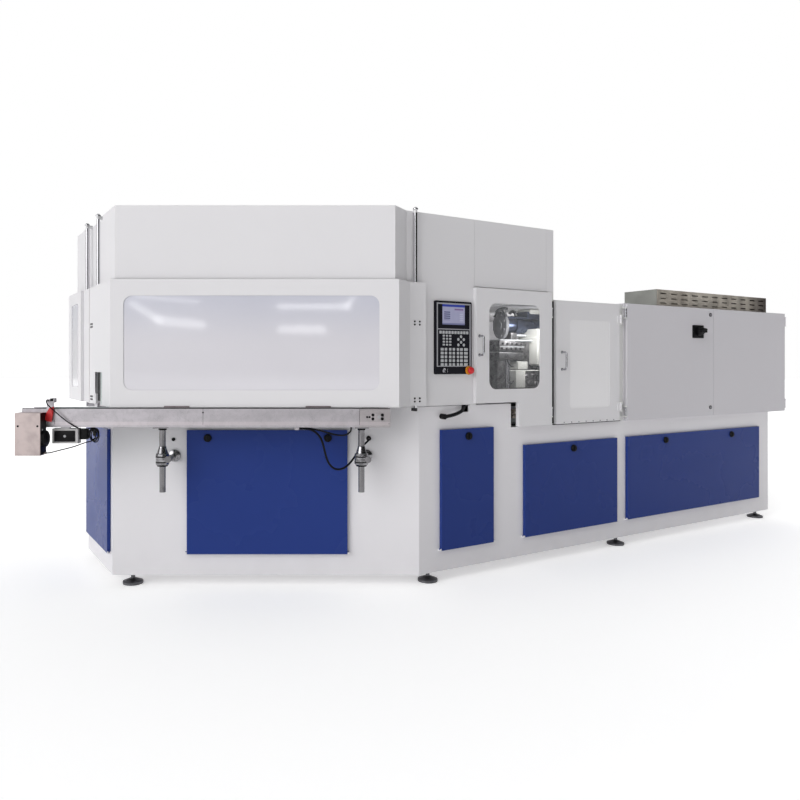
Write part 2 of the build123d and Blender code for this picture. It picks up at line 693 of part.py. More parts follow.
with BuildPart() as head_front_fascia:
    fascia(STRIP, STRIP_RETURN, OPERATOR, -1)
    slab(END_PLANE, END_PANEL - SHEET, BAY_SIDE,
         (END_PANEL_HALF + 1, END_PANEL_HALF + 1 + SHEET, FASCIA_LOW, HEAD_TOP))
finish(head_front_fascia.part, "head_front_fascia")

with BuildPart() as head_back_fascia:
    fascia(BLOW, BLOW_RETURN, FAR, 1)
    end_edges = (-END_PANEL_HALF, END_PANEL_HALF, PANEL_LOW, HEAD_TOP)
    slab(END_PLANE, END_PANEL - SHEET, END_PANEL, end_edges)
    slab(END_PLANE, END_PANEL - SHEET, BAY_SIDE,
         (-END_PANEL_HALF - 1 - SHEET, -END_PANEL_HALF, FASCIA_LOW, HEAD_TOP))
finish(head_back_fascia.part, "head_back_fascia")

with BuildPart() as head_rear_cover:
    far_start = meet(FAR, PANEL_FACE, BLOW_RETURN, BAY_SIDE)[0] + 1
    prism([(far_start, skin), (HEAD_END, skin), (HEAD_END, PANEL_FACE), (far_start, PANEL_FACE)],
          PANEL_LOW, HEAD_TOP)
    slab(Plane.XZ.offset(-skin), 0, -(PANEL_FACE - skin - SHEET),
         (far_start + SHEET, HEAD_END - SHEET, PANEL_LOW + SHEET, HEAD_TOP - SHEET),
         mode=Mode.SUBTRACT)
    end_wall_x = POST_X + TUBE
    prism([(end_wall_x, -skin), (end_wall_x + SHEET, -skin), (end_wall_x + SHEET, skin),
           (end_wall_x, skin)], TAIL_COVER_TOP + 1, HEAD_TOP)
    prism([(end_wall_x, TAIL_FAR), (end_wall_x + SHEET, TAIL_FAR), (end_wall_x + SHEET, skin),
           (end_wall_x, skin)], TAIL_TOP + SEAT, TAIL_COVER_TOP + 1)
    prism([(STEP_X + 1, skin), (HEAD_END, skin), (HEAD_END, skin + SHEET),
           (STEP_X + 1, skin + SHEET)], TAIL_TOP + SEAT, PANEL_LOW + SHEET)
    roof_in = SHEET + SEAT
    near_start = meet(OPERATOR, PANEL_FACE, STRIP_RETURN, BAY_SIDE - roof_in)
    far_roof = meet(FAR, PANEL_FACE, BLOW_RETURN, BAY_SIDE - roof_in)
    prism([(near_start[0], -skin), near_start,
           meet(STRIP, BAY_FACE - roof_in, STRIP_RETURN, BAY_SIDE - roof_in),
           meet(STRIP, BAY_FACE - roof_in, END, END_PANEL - roof_in),
           meet(BLOW, BAY_FACE - roof_in, END, END_PANEL - roof_in),
           meet(BLOW, BAY_FACE - roof_in, BLOW_RETURN, BAY_SIDE - roof_in),
           far_roof, (far_roof[0], skin), (end_wall_x, skin), (end_wall_x, -skin)],
          HEAD_TOP - SHEET, HEAD_TOP)
finish(head_rear_cover.part, "head_rear_cover")

# Guide rods of the two guards, each with a cap, a bracket near its top and a foot
with BuildPart() as guard_rods:
    for side in (-1, 1):
        side_spot = (ROD_SIDE_X, side * ROD_SIDE_Y)
        end_spot = (-ROD_END_X, side * ROD_END_Y)
        for spot in (side_spot, end_spot):
            with BuildSketch(Plane.XZ) as rod_profile:
                with BuildLine():
                    Polyline((0, ROD_FOOT), (ROD_RADIUS, ROD_FOOT), (ROD_RADIUS, ROD_TOP),
                             (ROD_CAP_RADIUS, ROD_TOP), (ROD_CAP_RADIUS, ROD_TOP + 6),
                             (ROD_CAP_RADIUS / 2, ROD_TOP + 14), (0, ROD_TOP + 14), close=True)
                make_face()
            rod = revolve(rod_profile.sketch, axis=Axis.Z, mode=Mode.PRIVATE)
            with Locations(spot):
                add(rod)
        half = ROD_BRACKET / 2
        for low, wall_y, wall_x in ((ROD_TOP - ROD_BRACKET, PANEL_FACE, END_PANEL),
                                    (ROD_FOOT, HALF_WIDTH, END_FACE)):
            prism([(ROD_SIDE_X - half, side * ROD_SIDE_Y), (ROD_SIDE_X + half, side * ROD_SIDE_Y),
                   (ROD_SIDE_X + half, side * (wall_y + SEAT)),
                   (ROD_SIDE_X - half, side * (wall_y + SEAT))], low, low + ROD_BRACKET)
            prism([(-ROD_END_X, end_spot[1] - half), (-wall_x - SEAT, end_spot[1] - half),
                   (-wall_x - SEAT, end_spot[1] + half), (-ROD_END_X, end_spot[1] + half)],
                  low, low + ROD_BRACKET)
finish(guard_rods.part, "guard_rods")


def guard_bearings(side):
    """Bearing blocks behind a guard's two flanges, bored for the guide rods."""
    side_y, end_y = side * ROD_SIDE_Y, side * ROD_END_Y
    inside = side * (GUARD_FLANGE - SHEET / 2)
    back = side * (PANEL_FACE + 1.5)
    for low in BEARING_ROWS:
        high = low + BEARING_HEIGHT
        prism([(ROD_SIDE_X - BEARING_HALF, inside), (ROD_SIDE_X + BEARING_HALF, inside),
               (ROD_SIDE_X + BEARING_HALF, back), (ROD_SIDE_X - BEARING_HALF, back)], low, high)
        prism([(-GUARD_SIDE + SHEET / 2, end_y - BEARING_HALF),
               (-BEARING_BACK, end_y - BEARING_HALF), (-BEARING_BACK, end_y + BEARING_HALF),
               (-GUARD_SIDE + SHEET / 2, end_y + BEARING_HALF)], low, high)
    for spot in ((ROD_SIDE_X, side_y), (-ROD_END_X, end_y)):
        bar(Plane.XY, BEARING_ROWS[0] - 1, BEARING_ROWS[1] + BEARING_HEIGHT + 1, spot,
            ROD_RADIUS + BEARING_FIT, mode=Mode.SUBTRACT)


def strip_guard_line(inset):
    """Plan line of the front guard, from its side flange to its end flange."""
    side, face, end = GUARD_SIDE - inset, GUARD_FACE - inset, GUARD_SIDE - inset
    flange = GUARD_FLANGE - inset
    return [(GUARD_FLANGE_END, -flange), meet(OPERATOR, flange, STRIP_RETURN, side),
            meet(STRIP_RETURN, side, STRIP, face), meet(STRIP, face, END, end),
            (-end, -GUARD_MEET)]


with BuildPart() as front_guard:
    band(strip_guard_line(0), strip_guard_line(SHEET), GUARD_LOW, GUARD_TOP)
    lip_end = SLOT_SPAN[1] + 2 * SHEET
    for low in (GUARD_LOW, GUARD_TOP - SHEET):
        outer_line, lip_line = strip_guard_line(0)[1:4], strip_guard_line(GUARD_LIP)[1:4]
        band([*outer_line, (-GUARD_SIDE, -lip_end)],
             [*lip_line, (-GUARD_SIDE + GUARD_LIP, -lip_end)], low, low + SHEET)
    slab(STRIP_PLANE, BAY_FACE, GUARD_FACE + 1, GUARD_WINDOW, GUARD_WINDOW_RADIUS,
         mode=Mode.SUBTRACT)
    slab(END_PLANE, GUARD_SIDE - 2 * SHEET, GUARD_SIDE + 1,
         (SLOT_SPAN[0], SLOT_SPAN[1], GUARD_LOW - 1, SLOT_TOP), mode=Mode.SUBTRACT)
    for middle in GRIPS:
        slab(STRIP_PLANE, GUARD_FACE - SHEET, GUARD_FACE + GRIP_DEPTH,
             (middle - GRIP_LENGTH / 2, middle + GRIP_LENGTH / 2, GUARD_LOW, GUARD_LOW + SHEET))
    guard_bearings(-1)
finish(front_guard.part, "front_guard")

with BuildPart() as front_guard_window:
    pane_face = GUARD_FACE - SHEET - WELD_GAP
    slab(STRIP_PLANE, pane_face - PANE, pane_face, grown(GUARD_WINDOW, PANE_LAP),
         GUARD_WINDOW_RADIUS)
finish(front_guard_window.part, "front_guard_window")


def blow_guard_line(inset):
    """Plan line of the back guard, from its end flange past the fold to its far flange."""
    side, face, flange = BLOW_GUARD_SIDE - inset, BLOW_GUARD_FACE - inset, GUARD_FLANGE - inset
    return [(-GUARD_SIDE + inset, GUARD_MEET), (-GUARD_SIDE + inset, BLOW_FOLD + inset),
            (-side, BLOW_FOLD + inset), meet(END, side, BLOW, face),
            meet(BLOW, face, BLOW_RETURN, side), meet(BLOW_RETURN, side, FAR, flange),
            (GUARD_FLANGE_END, flange)]


BLOW_END_WINDOW = (-BLOW_WINDOW[1], -BLOW_WINDOW[0], BLOW_WINDOW[2], BLOW_WINDOW[3])
BLOW_FACE_WINDOW = (-BLOW_PANE_HALF, BLOW_PANE_HALF, GUARD_WINDOW[2], GUARD_WINDOW[3])

with BuildPart() as back_guard:
    band(blow_guard_line(0), blow_guard_line(SHEET), GUARD_LOW, GUARD_TOP)
    for low in (GUARD_LOW, GUARD_TOP - SHEET):
        band([(-BLOW_GUARD_SIDE, BLOW_FOLD + SHEET), *blow_guard_line(0)[3:5]],
             [(-BLOW_GUARD_SIDE + GUARD_LIP, BLOW_FOLD + SHEET), *blow_guard_line(GUARD_LIP)[3:5]],
             low, low + SHEET)
    slab(END_PLANE, BLOW_GUARD_SIDE - 2 * SHEET, BLOW_GUARD_SIDE + 1, BLOW_END_WINDOW,
         NOZZLE_WINDOW_RADIUS, mode=Mode.SUBTRACT)
    slab(BLOW_PLANE, BLOW_GUARD_FACE - 2 * SHEET, BLOW_GUARD_FACE + 1, BLOW_FACE_WINDOW,
         GUARD_WINDOW_RADIUS, mode=Mode.SUBTRACT)
    guard_bearings(1)
finish(back_guard.part, "back_guard")

with BuildPart() as back_guard_windows:
    end_pane = BLOW_GUARD_SIDE - SHEET - WELD_GAP
    slab(END_PLANE, end_pane - PANE, end_pane, grown(BLOW_END_WINDOW, PANE_LAP),
         NOZZLE_WINDOW_RADIUS)
    face_pane = BLOW_GUARD_FACE - SHEET - WELD_GAP
    slab(BLOW_PLANE, face_pane - PANE, face_pane, grown(BLOW_FACE_WINDOW, PANE_LAP),
         GUARD_WINDOW_RADIUS)
finish(back_guard_windows.part, "back_guard_windows")

# Clamp door, its pane and its handle
with BuildPart() as clamp_door:
    left, right, bottom, top = CLAMP_DOOR
    foot_left, foot_low = CLAMP_DOOR_FOOT
    slab(OPERATOR_PLANE, CLAMP_DOOR_BACK, CLAMP_DOOR_FACE, CLAMP_DOOR)
    slab(OPERATOR_PLANE, CLAMP_DOOR_BACK, CLAMP_DOOR_FACE, (foot_left, right, foot_low, bottom))
    slab(OPERATOR_PLANE, CLAMP_DOOR_BACK, CLAMP_DOOR_FACE - DOOR_SHEET,
         grown(CLAMP_DOOR, -DOOR_SHEET), mode=Mode.SUBTRACT)
    slab(OPERATOR_PLANE, CLAMP_DOOR_BACK, CLAMP_DOOR_FACE - DOOR_SHEET,
         grown((foot_left, right, foot_low, bottom + 4 * DOOR_SHEET), -DOOR_SHEET),
         mode=Mode.SUBTRACT)
    slab(OPERATOR_PLANE, CLAMP_DOOR_BACK, CLAMP_DOOR_FACE + 1, CLAMP_WINDOW,
         CLAMP_WINDOW_RADIUS, mode=Mode.SUBTRACT)
    for height in CLAMP_KNUCKLES:
        half = KNUCKLE_HEIGHT / 2
        prism([(right - DOOR_SHEET, -CLAMP_HINGE_Y - 2), (CLAMP_HINGE_X, -CLAMP_HINGE_Y - 2),
               (CLAMP_HINGE_X, -CLAMP_HINGE_Y + 2), (right - DOOR_SHEET, -CLAMP_HINGE_Y + 2)],
              height - half, height + half)
    knuckles((CLAMP_HINGE_X, -CLAMP_HINGE_Y), CLAMP_KNUCKLES, KNUCKLE_HEIGHT)
    pin_bores((CLAMP_HINGE_X, -CLAMP_HINGE_Y), CLAMP_KNUCKLES, KNUCKLE_HEIGHT)
finish(clamp_door.part, "clamp_door")

with BuildPart() as clamp_door_window:
    clamp_pane = CLAMP_DOOR_FACE - DOOR_SHEET - WELD_GAP
    slab(OPERATOR_PLANE, clamp_pane - PANE, clamp_pane, grown(CLAMP_WINDOW, PANE_LAP),
         CLAMP_WINDOW_RADIUS)
finish(clamp_door_window.part, "clamp_door_window")

with BuildPart() as clamp_door_handle:
    pull_handle(OPERATOR_PLANE, CLAMP_DOOR_FACE, CLAMP_HANDLE)
finish(clamp_door_handle.part, "clamp_door_handle")

# Nozzle door, its pane and its handle
with BuildPart() as nozzle_door:
    pan(OPERATOR_PLANE, NOZZLE_DOOR_BACK, NOZZLE_DOOR_FACE, NOZZLE_DOOR)
    slab(OPERATOR_PLANE, NOZZLE_DOOR_BACK, NOZZLE_DOOR_FACE + 1, NOZZLE_WINDOW,
         NOZZLE_WINDOW_RADIUS, mode=Mode.SUBTRACT)
    for height in NOZZLE_KNUCKLES:
        half = KNUCKLE_HEIGHT / 2
        slab(OPERATOR_PLANE, NOZZLE_DOOR_FACE, NOZZLE_DOOR_FACE + 3,
             (NOZZLE_DOOR[1] - 24, NOZZLE_HINGE_X, height - half, height + half))
    knuckles((NOZZLE_HINGE_X, -NOZZLE_HINGE_Y), NOZZLE_KNUCKLES, KNUCKLE_HEIGHT)
    pin_bores((NOZZLE_HINGE_X, -NOZZLE_HINGE_Y), NOZZLE_KNUCKLES, KNUCKLE_HEIGHT)
finish(nozzle_door.part, "nozzle_door")

with BuildPart() as nozzle_door_window:
    nozzle_pane = NOZZLE_DOOR_FACE - DOOR_SHEET - WELD_GAP
    slab(OPERATOR_PLANE, nozzle_pane - PANE, nozzle_pane, grown(NOZZLE_WINDOW, PANE_LAP),
         NOZZLE_WINDOW_RADIUS)
finish(nozzle_door_window.part, "nozzle_door_window")

with BuildPart() as nozzle_door_handle:
    pull_handle(OPERATOR_PLANE, NOZZLE_DOOR_FACE, NOZZLE_HANDLE)
finish(nozzle_door_handle.part, "nozzle_door_handle")

# Cover over the injection unit, open towards the head and behind the cabinet's front
with BuildPart() as tail_cover:
    cover_left = POST_X + TUBE + SHEET + SEAT
    cover_base = TAIL_TOP + SEAT
    cover_top = TAIL_COVER_TOP
    far_wall = [(cover_left, TAIL_FAR), (TAIL_END, TAIL_FAR), (TAIL_END, -CABINET_BACK + SEAT)]
    far_inside = [(cover_left, TAIL_FAR - SHEET), (TAIL_END - SHEET, TAIL_FAR - SHEET),
                  (TAIL_END - SHEET, -CABINET_BACK + SEAT)]
    band(far_wall, far_inside, cover_base, cover_top)
    prism([(cover_left, TAIL_FAR), (TAIL_END, TAIL_FAR), (TAIL_END, -CABINET_BACK + SEAT),
           (CABINET[0] - SEAT, -CABINET_BACK + SEAT), (CABINET[0] - SEAT, -skin),
           (cover_left, -skin)], cover_top - SHEET, cover_top)
finish(tail_cover.part, "tail_cover")

# Electrical cabinet: shell with a back plate, an open front and lugs for the right door
with BuildPart() as cabinet_shell:
    left, right, bottom, top = CABINET
    slab(OPERATOR_PLANE, CABINET_BACK, CABINET_FRONT, CABINET)
    slab(OPERATOR_PLANE, CABINET_BACK + SHEET, CABINET_FRONT + 1, grown(CABINET, -SHEET),
         mode=Mode.SUBTRACT)
    plate_edges = (left + 60, right - 60, bottom + 60, top - 60)
    slab(OPERATOR_PLANE, CABINET_BACK + SHEET, CABINET_BACK + 8 * SHEET, plate_edges)
    right_axis = right + CABINET_HINGE_OUT
    hinge_pins((right_axis, -CABINET_HINGE_Y), CABINET_KNUCKLES, CABINET_KNUCKLE_HEIGHT,
               -CABINET_FRONT + 10, (right - SHEET + 1, right_axis + KNUCKLE_RADIUS))
finish(cabinet_shell.part, "cabinet_shell")


def cabinet_door(edges, axis_x, edge_x):
    """Cabinet door pan with knuckles on the side of its hinge."""
    pan(OPERATOR_PLANE, CABINET_DOOR_BACK, CABINET_DOOR_FACE, edges)
    for height in CABINET_KNUCKLES:
        half = CABINET_KNUCKLE_HEIGHT / 2
        prism([(axis_x, -CABINET_HINGE_Y - 2), (edge_x, -CABINET_HINGE_Y - 2),
               (edge_x, -CABINET_HINGE_Y + 2), (axis_x, -CABINET_HINGE_Y + 2)],
              height - half, height + half)
    knuckles((axis_x, -CABINET_HINGE_Y), CABINET_KNUCKLES, CABINET_KNUCKLE_HEIGHT)
    pin_bores((axis_x, -CABINET_HINGE_Y), CABINET_KNUCKLES, CABINET_KNUCKLE_HEIGHT)


with BuildPart() as cabinet_left_door:
    left_axis = CABINET[0] - CABINET_HINGE_OUT
    left_edge = CABINET[0] + CABINET_DOOR_EDGE
    cabinet_door((left_edge, CABINET_SPLIT - 2, CABINET[2] + CABINET_EDGE,
                  CABINET[3] - CABINET_EDGE), left_axis, left_edge + DOOR_SHEET)
    for height in LOCK_HEIGHTS:
        bar(OPERATOR_PLANE, CABINET_DOOR_FACE, CABINET_DOOR_FACE + LOCK_DEPTH, (LOCK_X, height),
            LOCK_RADIUS)
finish(cabinet_left_door.part, "cabinet_left_door")

with BuildPart() as cabinet_right_door:
    right_edge = CABINET[1] - CABINET_DOOR_EDGE
    cabinet_door((CABINET_SPLIT + 2, right_edge, CABINET[2] + CABINET_EDGE,
                  CABINET[3] - CABINET_EDGE), right_axis, right_edge - DOOR_SHEET)
finish(cabinet_right_door.part, "cabinet_right_door")

switch_centre = ((SWITCH[0] + SWITCH[1]) / 2, (SWITCH[2] + SWITCH[3]) / 2)
with BuildPart() as main_switch_plate:
    slab(OPERATOR_PLANE, CABINET_DOOR_FACE, CABINET_DOOR_FACE + SWITCH_PLATE, SWITCH, 6)
finish(main_switch_plate.part, "main_switch_plate")

with BuildPart() as main_switch_handle:
    knob_back = CABINET_DOOR_FACE + SWITCH_PLATE + SEAT
    grip_length, grip_width, grip_height = SWITCH_GRIP
    bar(OPERATOR_PLANE, knob_back, knob_back + grip_width, switch_centre, SWITCH_KNOB_RADIUS)
    slab(OPERATOR_PLANE, knob_back + grip_width, knob_back + grip_width + grip_height,
         (switch_centre[0] - grip_length / 3, switch_centre[0] + grip_length * 2 / 3,
          switch_centre[1] - grip_width / 2, switch_centre[1] + grip_width / 2), 4)
finish(main_switch_handle.part, "main_switch_handle")

with BuildPart() as vent_box:
    vent_left, vent_right, vent_height = VENT
    vent_low = CABINET[3]
    prism([(vent_left, -VENT_FRONT), (vent_right, -VENT_FRONT), (vent_right, -VENT_BACK),
           (vent_left, -VENT_BACK)], vent_low, vent_low + vent_height)
    prism([(vent_left + VENT_SHEET, -VENT_FRONT + VENT_SHEET),
           (vent_right - VENT_SHEET, -VENT_FRONT + VENT_SHEET),
           (vent_right - VENT_SHEET, -VENT_BACK - VENT_SHEET),
           (vent_left + VENT_SHEET, -VENT_BACK - VENT_SHEET)],
          vent_low - 1, vent_low + vent_height - VENT_SHEET, mode=Mode.SUBTRACT)
    vent_middle = ((vent_left + vent_right) / 2, vent_low + vent_height / 2)
    with BuildSketch(OPERATOR_PLANE.offset(VENT_FRONT - 2 * VENT_SHEET)) as vent_slots:
        with Locations(vent_middle):
            with GridLocations(VENT_PITCH[0], VENT_PITCH[1], VENT_GRID[0], VENT_GRID[1]):
                Rectangle(VENT_SLOT[0], VENT_SLOT[1])
    extrude(vent_slots.sketch, amount=3 * VENT_SHEET, mode=Mode.SUBTRACT)
finish(vent_box.part, "vent_box")

# Operator panel
panel_front = PANEL_FACE + PANEL_DEPTH
with BuildPart() as control_housing:
    slab(OPERATOR_PLANE, PANEL_FACE, panel_front, PANEL_BOX, PANEL_CORNER)
    slab(OPERATOR_PLANE, panel_front - SCREEN_DEPTH, panel_front + 1, SCREEN, mode=Mode.SUBTRACT)
    bar(OPERATOR_PLANE, panel_front, panel_front + STOP_STEM, (STOP_X, STOP_Z), STOP_COLLAR)
    bar(OPERATOR_PLANE, PANEL_FACE - 1, panel_front + STOP_STEM + 1, (STOP_X, STOP_Z),
        STOP_STEM + SHAFT_FIT, mode=Mode.SUBTRACT)
    bar(OPERATOR_PLANE, panel_front, panel_front + 6, (KEY_SWITCH_X, KEY_SWITCH_Z),
        KEY_SWITCH_RADIUS)
    bar(OPERATOR_PLANE, PANEL_FACE + SHEET, panel_front + 7, (KEY_SWITCH_X, KEY_SWITCH_Z),
        STOP_STEM + SHAFT_FIT, mode=Mode.SUBTRACT)
    with BuildSketch(OPERATOR_PLANE.offset(panel_front)) as keys:
        for (middle, pitch, size), grid in zip(KEY_BLOCKS, KEY_GRIDS):
            with Locations(middle):
                with GridLocations(pitch[0], pitch[1], grid[0], grid[1]):
                    Rectangle(size[0], size[1])
        row_middle, row_pitch, key_height = KEY_ROWS
        for along, width in KEY_COLUMNS:
            with Locations((along, row_middle)):
                with GridLocations(1, row_pitch, 1, KEY_ROW_COUNT):
                    Rectangle(width, key_height)
        with Locations(*ROUND_KEYS):
            Circle(ROUND_KEY_RADIUS)
    extrude(keys.sketch, amount=KEY_RISE)
finish(control_housing.part, "control_housing")

with BuildPart() as control_screen:
    slab(OPERATOR_PLANE, panel_front - SCREEN_DEPTH, panel_front - 1, grown(SCREEN, -0.5))
finish(control_screen.part, "control_screen")

with BuildPart() as stop_button:
    head_low = panel_front + STOP_STEM + STOP_TRAVEL + 1
    bar(OPERATOR_PLANE, PANEL_FACE + STOP_TRAVEL + 1, head_low, (STOP_X, STOP_Z), STOP_STEM)
    bar(OPERATOR_PLANE, head_low, head_low + STOP_HEAD, (STOP_X, STOP_Z), STOP_RADIUS)
    fillet(stop_button.faces().sort_by(Axis.Y)[0].edges(), 5)
finish(stop_button.part, "stop_button")

with BuildPart() as key_switch:
    bar(OPERATOR_PLANE, PANEL_FACE + SHEET + 1, panel_front + 9, (KEY_SWITCH_X, KEY_SWITCH_Z),
        STOP_STEM)
    slab(OPERATOR_PLANE, panel_front + 9, panel_front + 9 + KEY_BOW[2],
         (KEY_SWITCH_X - KEY_BOW[0], KEY_SWITCH_X + KEY_BOW[0],
          KEY_SWITCH_Z - KEY_BOW[1], KEY_SWITCH_Z + KEY_BOW[1]))
finish(key_switch.part, "key_switch")

# Conveyor frame: two folded rails, cross bars, slider plate and tension plates
near_face = CONVEYOR_CENTRE + CONVEYOR_HALF
far_face = CONVEYOR_CENTRE - CONVEYOR_HALF
rollers = (DRIVE_ROLLER_S, TAIL_ROLLER_S)
belt_inside = ROLLER_RADIUS + BELT_FIT
with BuildPart() as conveyor_frame:
    for face, inward in ((near_face, -1), (far_face, 1)):
        web = sorted((face, face + inward * RAIL_SHEET))
        slab(STRIP_PLANE, web[0], web[1], (*RAIL_ENDS, RAIL_LOW, RAIL_TOP))
        for lip, low in ((RAIL_TOP_LIP, RAIL_TOP - RAIL_SHEET), (RAIL_FOOT_LIP, RAIL_LOW)):
            reach = sorted((face, face + inward * (RAIL_SHEET + lip)))
            slab(STRIP_PLANE, reach[0], reach[1], (*RAIL_ENDS, low, low + RAIL_SHEET))
    bed_top = ROLLER_Z + ROLLER_RADIUS
    for place in BED_BARS:
        slab(STRIP_PLANE, far_face + RAIL_SHEET / 2, near_face - RAIL_SHEET / 2,
             (place - BAR_HALF, place + BAR_HALF, ROLLER_Z - 20, bed_top - RAIL_SHEET))
    slab(STRIP_PLANE, CONVEYOR_CENTRE - BELT_HALF, CONVEYOR_CENTRE + BELT_HALF,
         (DRIVE_ROLLER_S + 2 * ROLLER_RADIUS, TAIL_ROLLER_S - 2 * ROLLER_RADIUS,
          bed_top - RAIL_SHEET, bed_top))
    slab(STRIP_PLANE, near_face, near_face + TENSION_DEPTH, TENSION_PLATE)
    slab(STRIP_PLANE, far_face - TENSION_DEPTH, far_face, TENSION_PLATE)
    slab(STRIP_PLANE, near_face - 1, near_face + 1,
         (RAIL_JOINT, RAIL_JOINT + GROOVE, RAIL_LOW - 1, RAIL_TOP + 1), mode=Mode.SUBTRACT)
    slab(STRIP_PLANE, CONVEYOR_CENTRE + 33, CONVEYOR_CENTRE + 65,
         (CLIP[0], CLIP[1], CLIP[2], RAIL_LOW + 1))
    for place in rollers:
        bar(STRIP_PLANE, far_face - 2 * TENSION_DEPTH, near_face + 2 * TENSION_DEPTH,
            (place, ROLLER_Z), SHAFT_RADIUS + SHAFT_FIT, mode=Mode.SUBTRACT)
finish(conveyor_frame.part, "conveyor_frame")

with BuildPart() as conveyor_belt:
    with BuildSketch(STRIP_PLANE.offset(CONVEYOR_CENTRE - BELT_HALF)) as belt_loop:
        with Locations(((DRIVE_ROLLER_S + TAIL_ROLLER_S) / 2, ROLLER_Z)):
            SlotCenterToCenter(TAIL_ROLLER_S - DRIVE_ROLLER_S, 2 * (belt_inside + BELT_THICK))
            SlotCenterToCenter(TAIL_ROLLER_S - DRIVE_ROLLER_S, 2 * belt_inside,
                               mode=Mode.SUBTRACT)
    extrude(belt_loop.sketch, amount=2 * BELT_HALF)
finish(conveyor_belt.part, "conveyor_belt")

with BuildPart() as drive_roller:
    spot = (DRIVE_ROLLER_S, ROLLER_Z)
    bar(STRIP_PLANE, CONVEYOR_CENTRE - ROLLER_HALF, CONVEYOR_CENTRE + ROLLER_HALF, spot,
        ROLLER_RADIUS)
    bar(STRIP_PLANE, far_face - 2, near_face + 30, spot, SHAFT_RADIUS)
finish(drive_roller.part, "drive_roller")

with BuildPart() as tail_roller:
    spot = (TAIL_ROLLER_S, ROLLER_Z)
    bar(STRIP_PLANE, CONVEYOR_CENTRE - ROLLER_HALF, CONVEYOR_CENTRE + ROLLER_HALF, spot,
        ROLLER_RADIUS)
    bar(STRIP_PLANE, far_face - TENSION_DEPTH - 2, near_face + TENSION_DEPTH + 2, spot,
        SHAFT_RADIUS)
finish(tail_roller.part, "tail_roller")

with BuildPart() as conveyor_drive_box:
    slab(STRIP_PLANE, near_face + SEAT, DRIVE_BOX_FACE, DRIVE_BOX)
    slab(STRIP_PLANE, near_face + SEAT + SHEET, DRIVE_BOX_FACE - DOOR_SHEET,
         grown(DRIVE_BOX, -DOOR_SHEET), mode=Mode.SUBTRACT)
    bar(STRIP_PLANE, near_face, near_face + 3 * SHEET, (DRIVE_ROLLER_S, ROLLER_Z),
        SHAFT_RADIUS + 2, mode=Mode.SUBTRACT)
    plug_out, plug_z, plug_radius, plug_reach = DRIVE_PLUG
    with BuildSketch(Plane(origin=strip_point(DRIVE_BOX[1], plug_out, plug_z),
                           z_dir=STRIP_PLANE.x_dir)) as plug:
        Circle(plug_radius)
    extrude(plug.sketch, amount=plug_reach)
finish(conveyor_drive_box.part, "conveyor_drive_box")

with BuildPart() as conveyor_switch_box:
    slab(STRIP_PLANE, SWITCH_BOX_BACK, SWITCH_BOX_FACE, SWITCH_BOX)
    fillet(conveyor_switch_box.edges().filter_by(Axis.Z), 4)
    middle = (SWITCH_BOX[0] + SWITCH_BOX[1]) / 2
    slab(STRIP_PLANE, SWITCH_BOX_FACE - RAIL_FOOT_LIP, SWITCH_BOX_FACE - 2,
         (middle - 25, middle + 25, SWITCH_BOX[3], RAIL_LOW))
    slab(STRIP_PLANE, SWITCH_BOX_BACK + 5, SWITCH_BOX_FACE - 21,
         (SWITCH_BOX[1], SWITCH_BOX[1] + 40, SWITCH_BOX[2] + 22, SWITCH_BOX[3] - 4))
finish(conveyor_switch_box.part, "conveyor_switch_box")

with BuildPart() as sensor_post:
    arm_face = near_face + SENSOR_ARM_DEPTH
    slab(STRIP_PLANE, near_face + SEAT, arm_face, SENSOR_ARM)
    slab(STRIP_PLANE, near_face - 34, arm_face, SENSOR_HEAD)
    bar(STRIP_PLANE, arm_face, arm_face + SENSOR_PLUG[3], SENSOR_PLUG[:2], SENSOR_PLUG[2])
finish(sensor_post.part, "sensor_post")

# Posts with their head plates, and the arms with flanges and cross clamps
with BuildPart() as conveyor_supports:
    for place in POSTS:
        out_half, along_half, thick = POST_PLATE
        bar(Plane.XY, POST_LOW, RAIL_LOW - thick, strip_point(place, CONVEYOR_CENTRE, 0)[:2],
            POST_RADIUS)
        slab(STRIP_PLANE, CONVEYOR_CENTRE - out_half, CONVEYOR_CENTRE + out_half,
             (place - along_half / 2, place + along_half / 2, RAIL_LOW - thick, RAIL_LOW))
    for place in POSTS:
        arm_spot = (place + ARM_SHIFT, ARM_Z)
        with BuildSketch(Plane.XY.offset(ARM_Z - CLAMP_HEIGHT / 2)) as sleeve:
            with Locations(strip_point(place, CONVEYOR_CENTRE, 0)[:2]):
                Circle(CLAMP_RADIUS)
                Circle(POST_RADIUS + CLAMP_FIT, mode=Mode.SUBTRACT)
        extrude(sleeve.sketch, amount=CLAMP_HEIGHT)
        for start, stop, radius in ((STATION_FACE, STATION_FACE + ARM_FLANGE_DEPTH, ARM_FLANGE),
                                    (STATION_FACE, CONVEYOR_CENTRE + CLAMP_RADIUS, ARM_RADIUS),
                                    (CONVEYOR_CENTRE - CLAMP_RADIUS, CONVEYOR_CENTRE + CLAMP_RADIUS,
                                     ARM_SHIFT - POST_RADIUS - CLAMP_FIT)):
            bar(STRIP_PLANE, start, stop, arm_spot, radius)
finish(conveyor_supports.part, "conveyor_supports")

with BuildPart() as cable_gland:
    bar(STRIP_PLANE, STATION_FACE - 2 * inner, STATION_FACE, GLAND, GLAND_RADIUS - 4 - SEAT)
    bar(STRIP_PLANE, STATION_FACE, STATION_FACE + GLAND_REACH * 2 / 3, GLAND, GLAND_RADIUS)
    bar(STRIP_PLANE, STATION_FACE + GLAND_REACH * 2 / 3, STATION_FACE + GLAND_REACH, GLAND,
        GLAND_RADIUS - 4)
finish(cable_gland.part, "cable_gland")

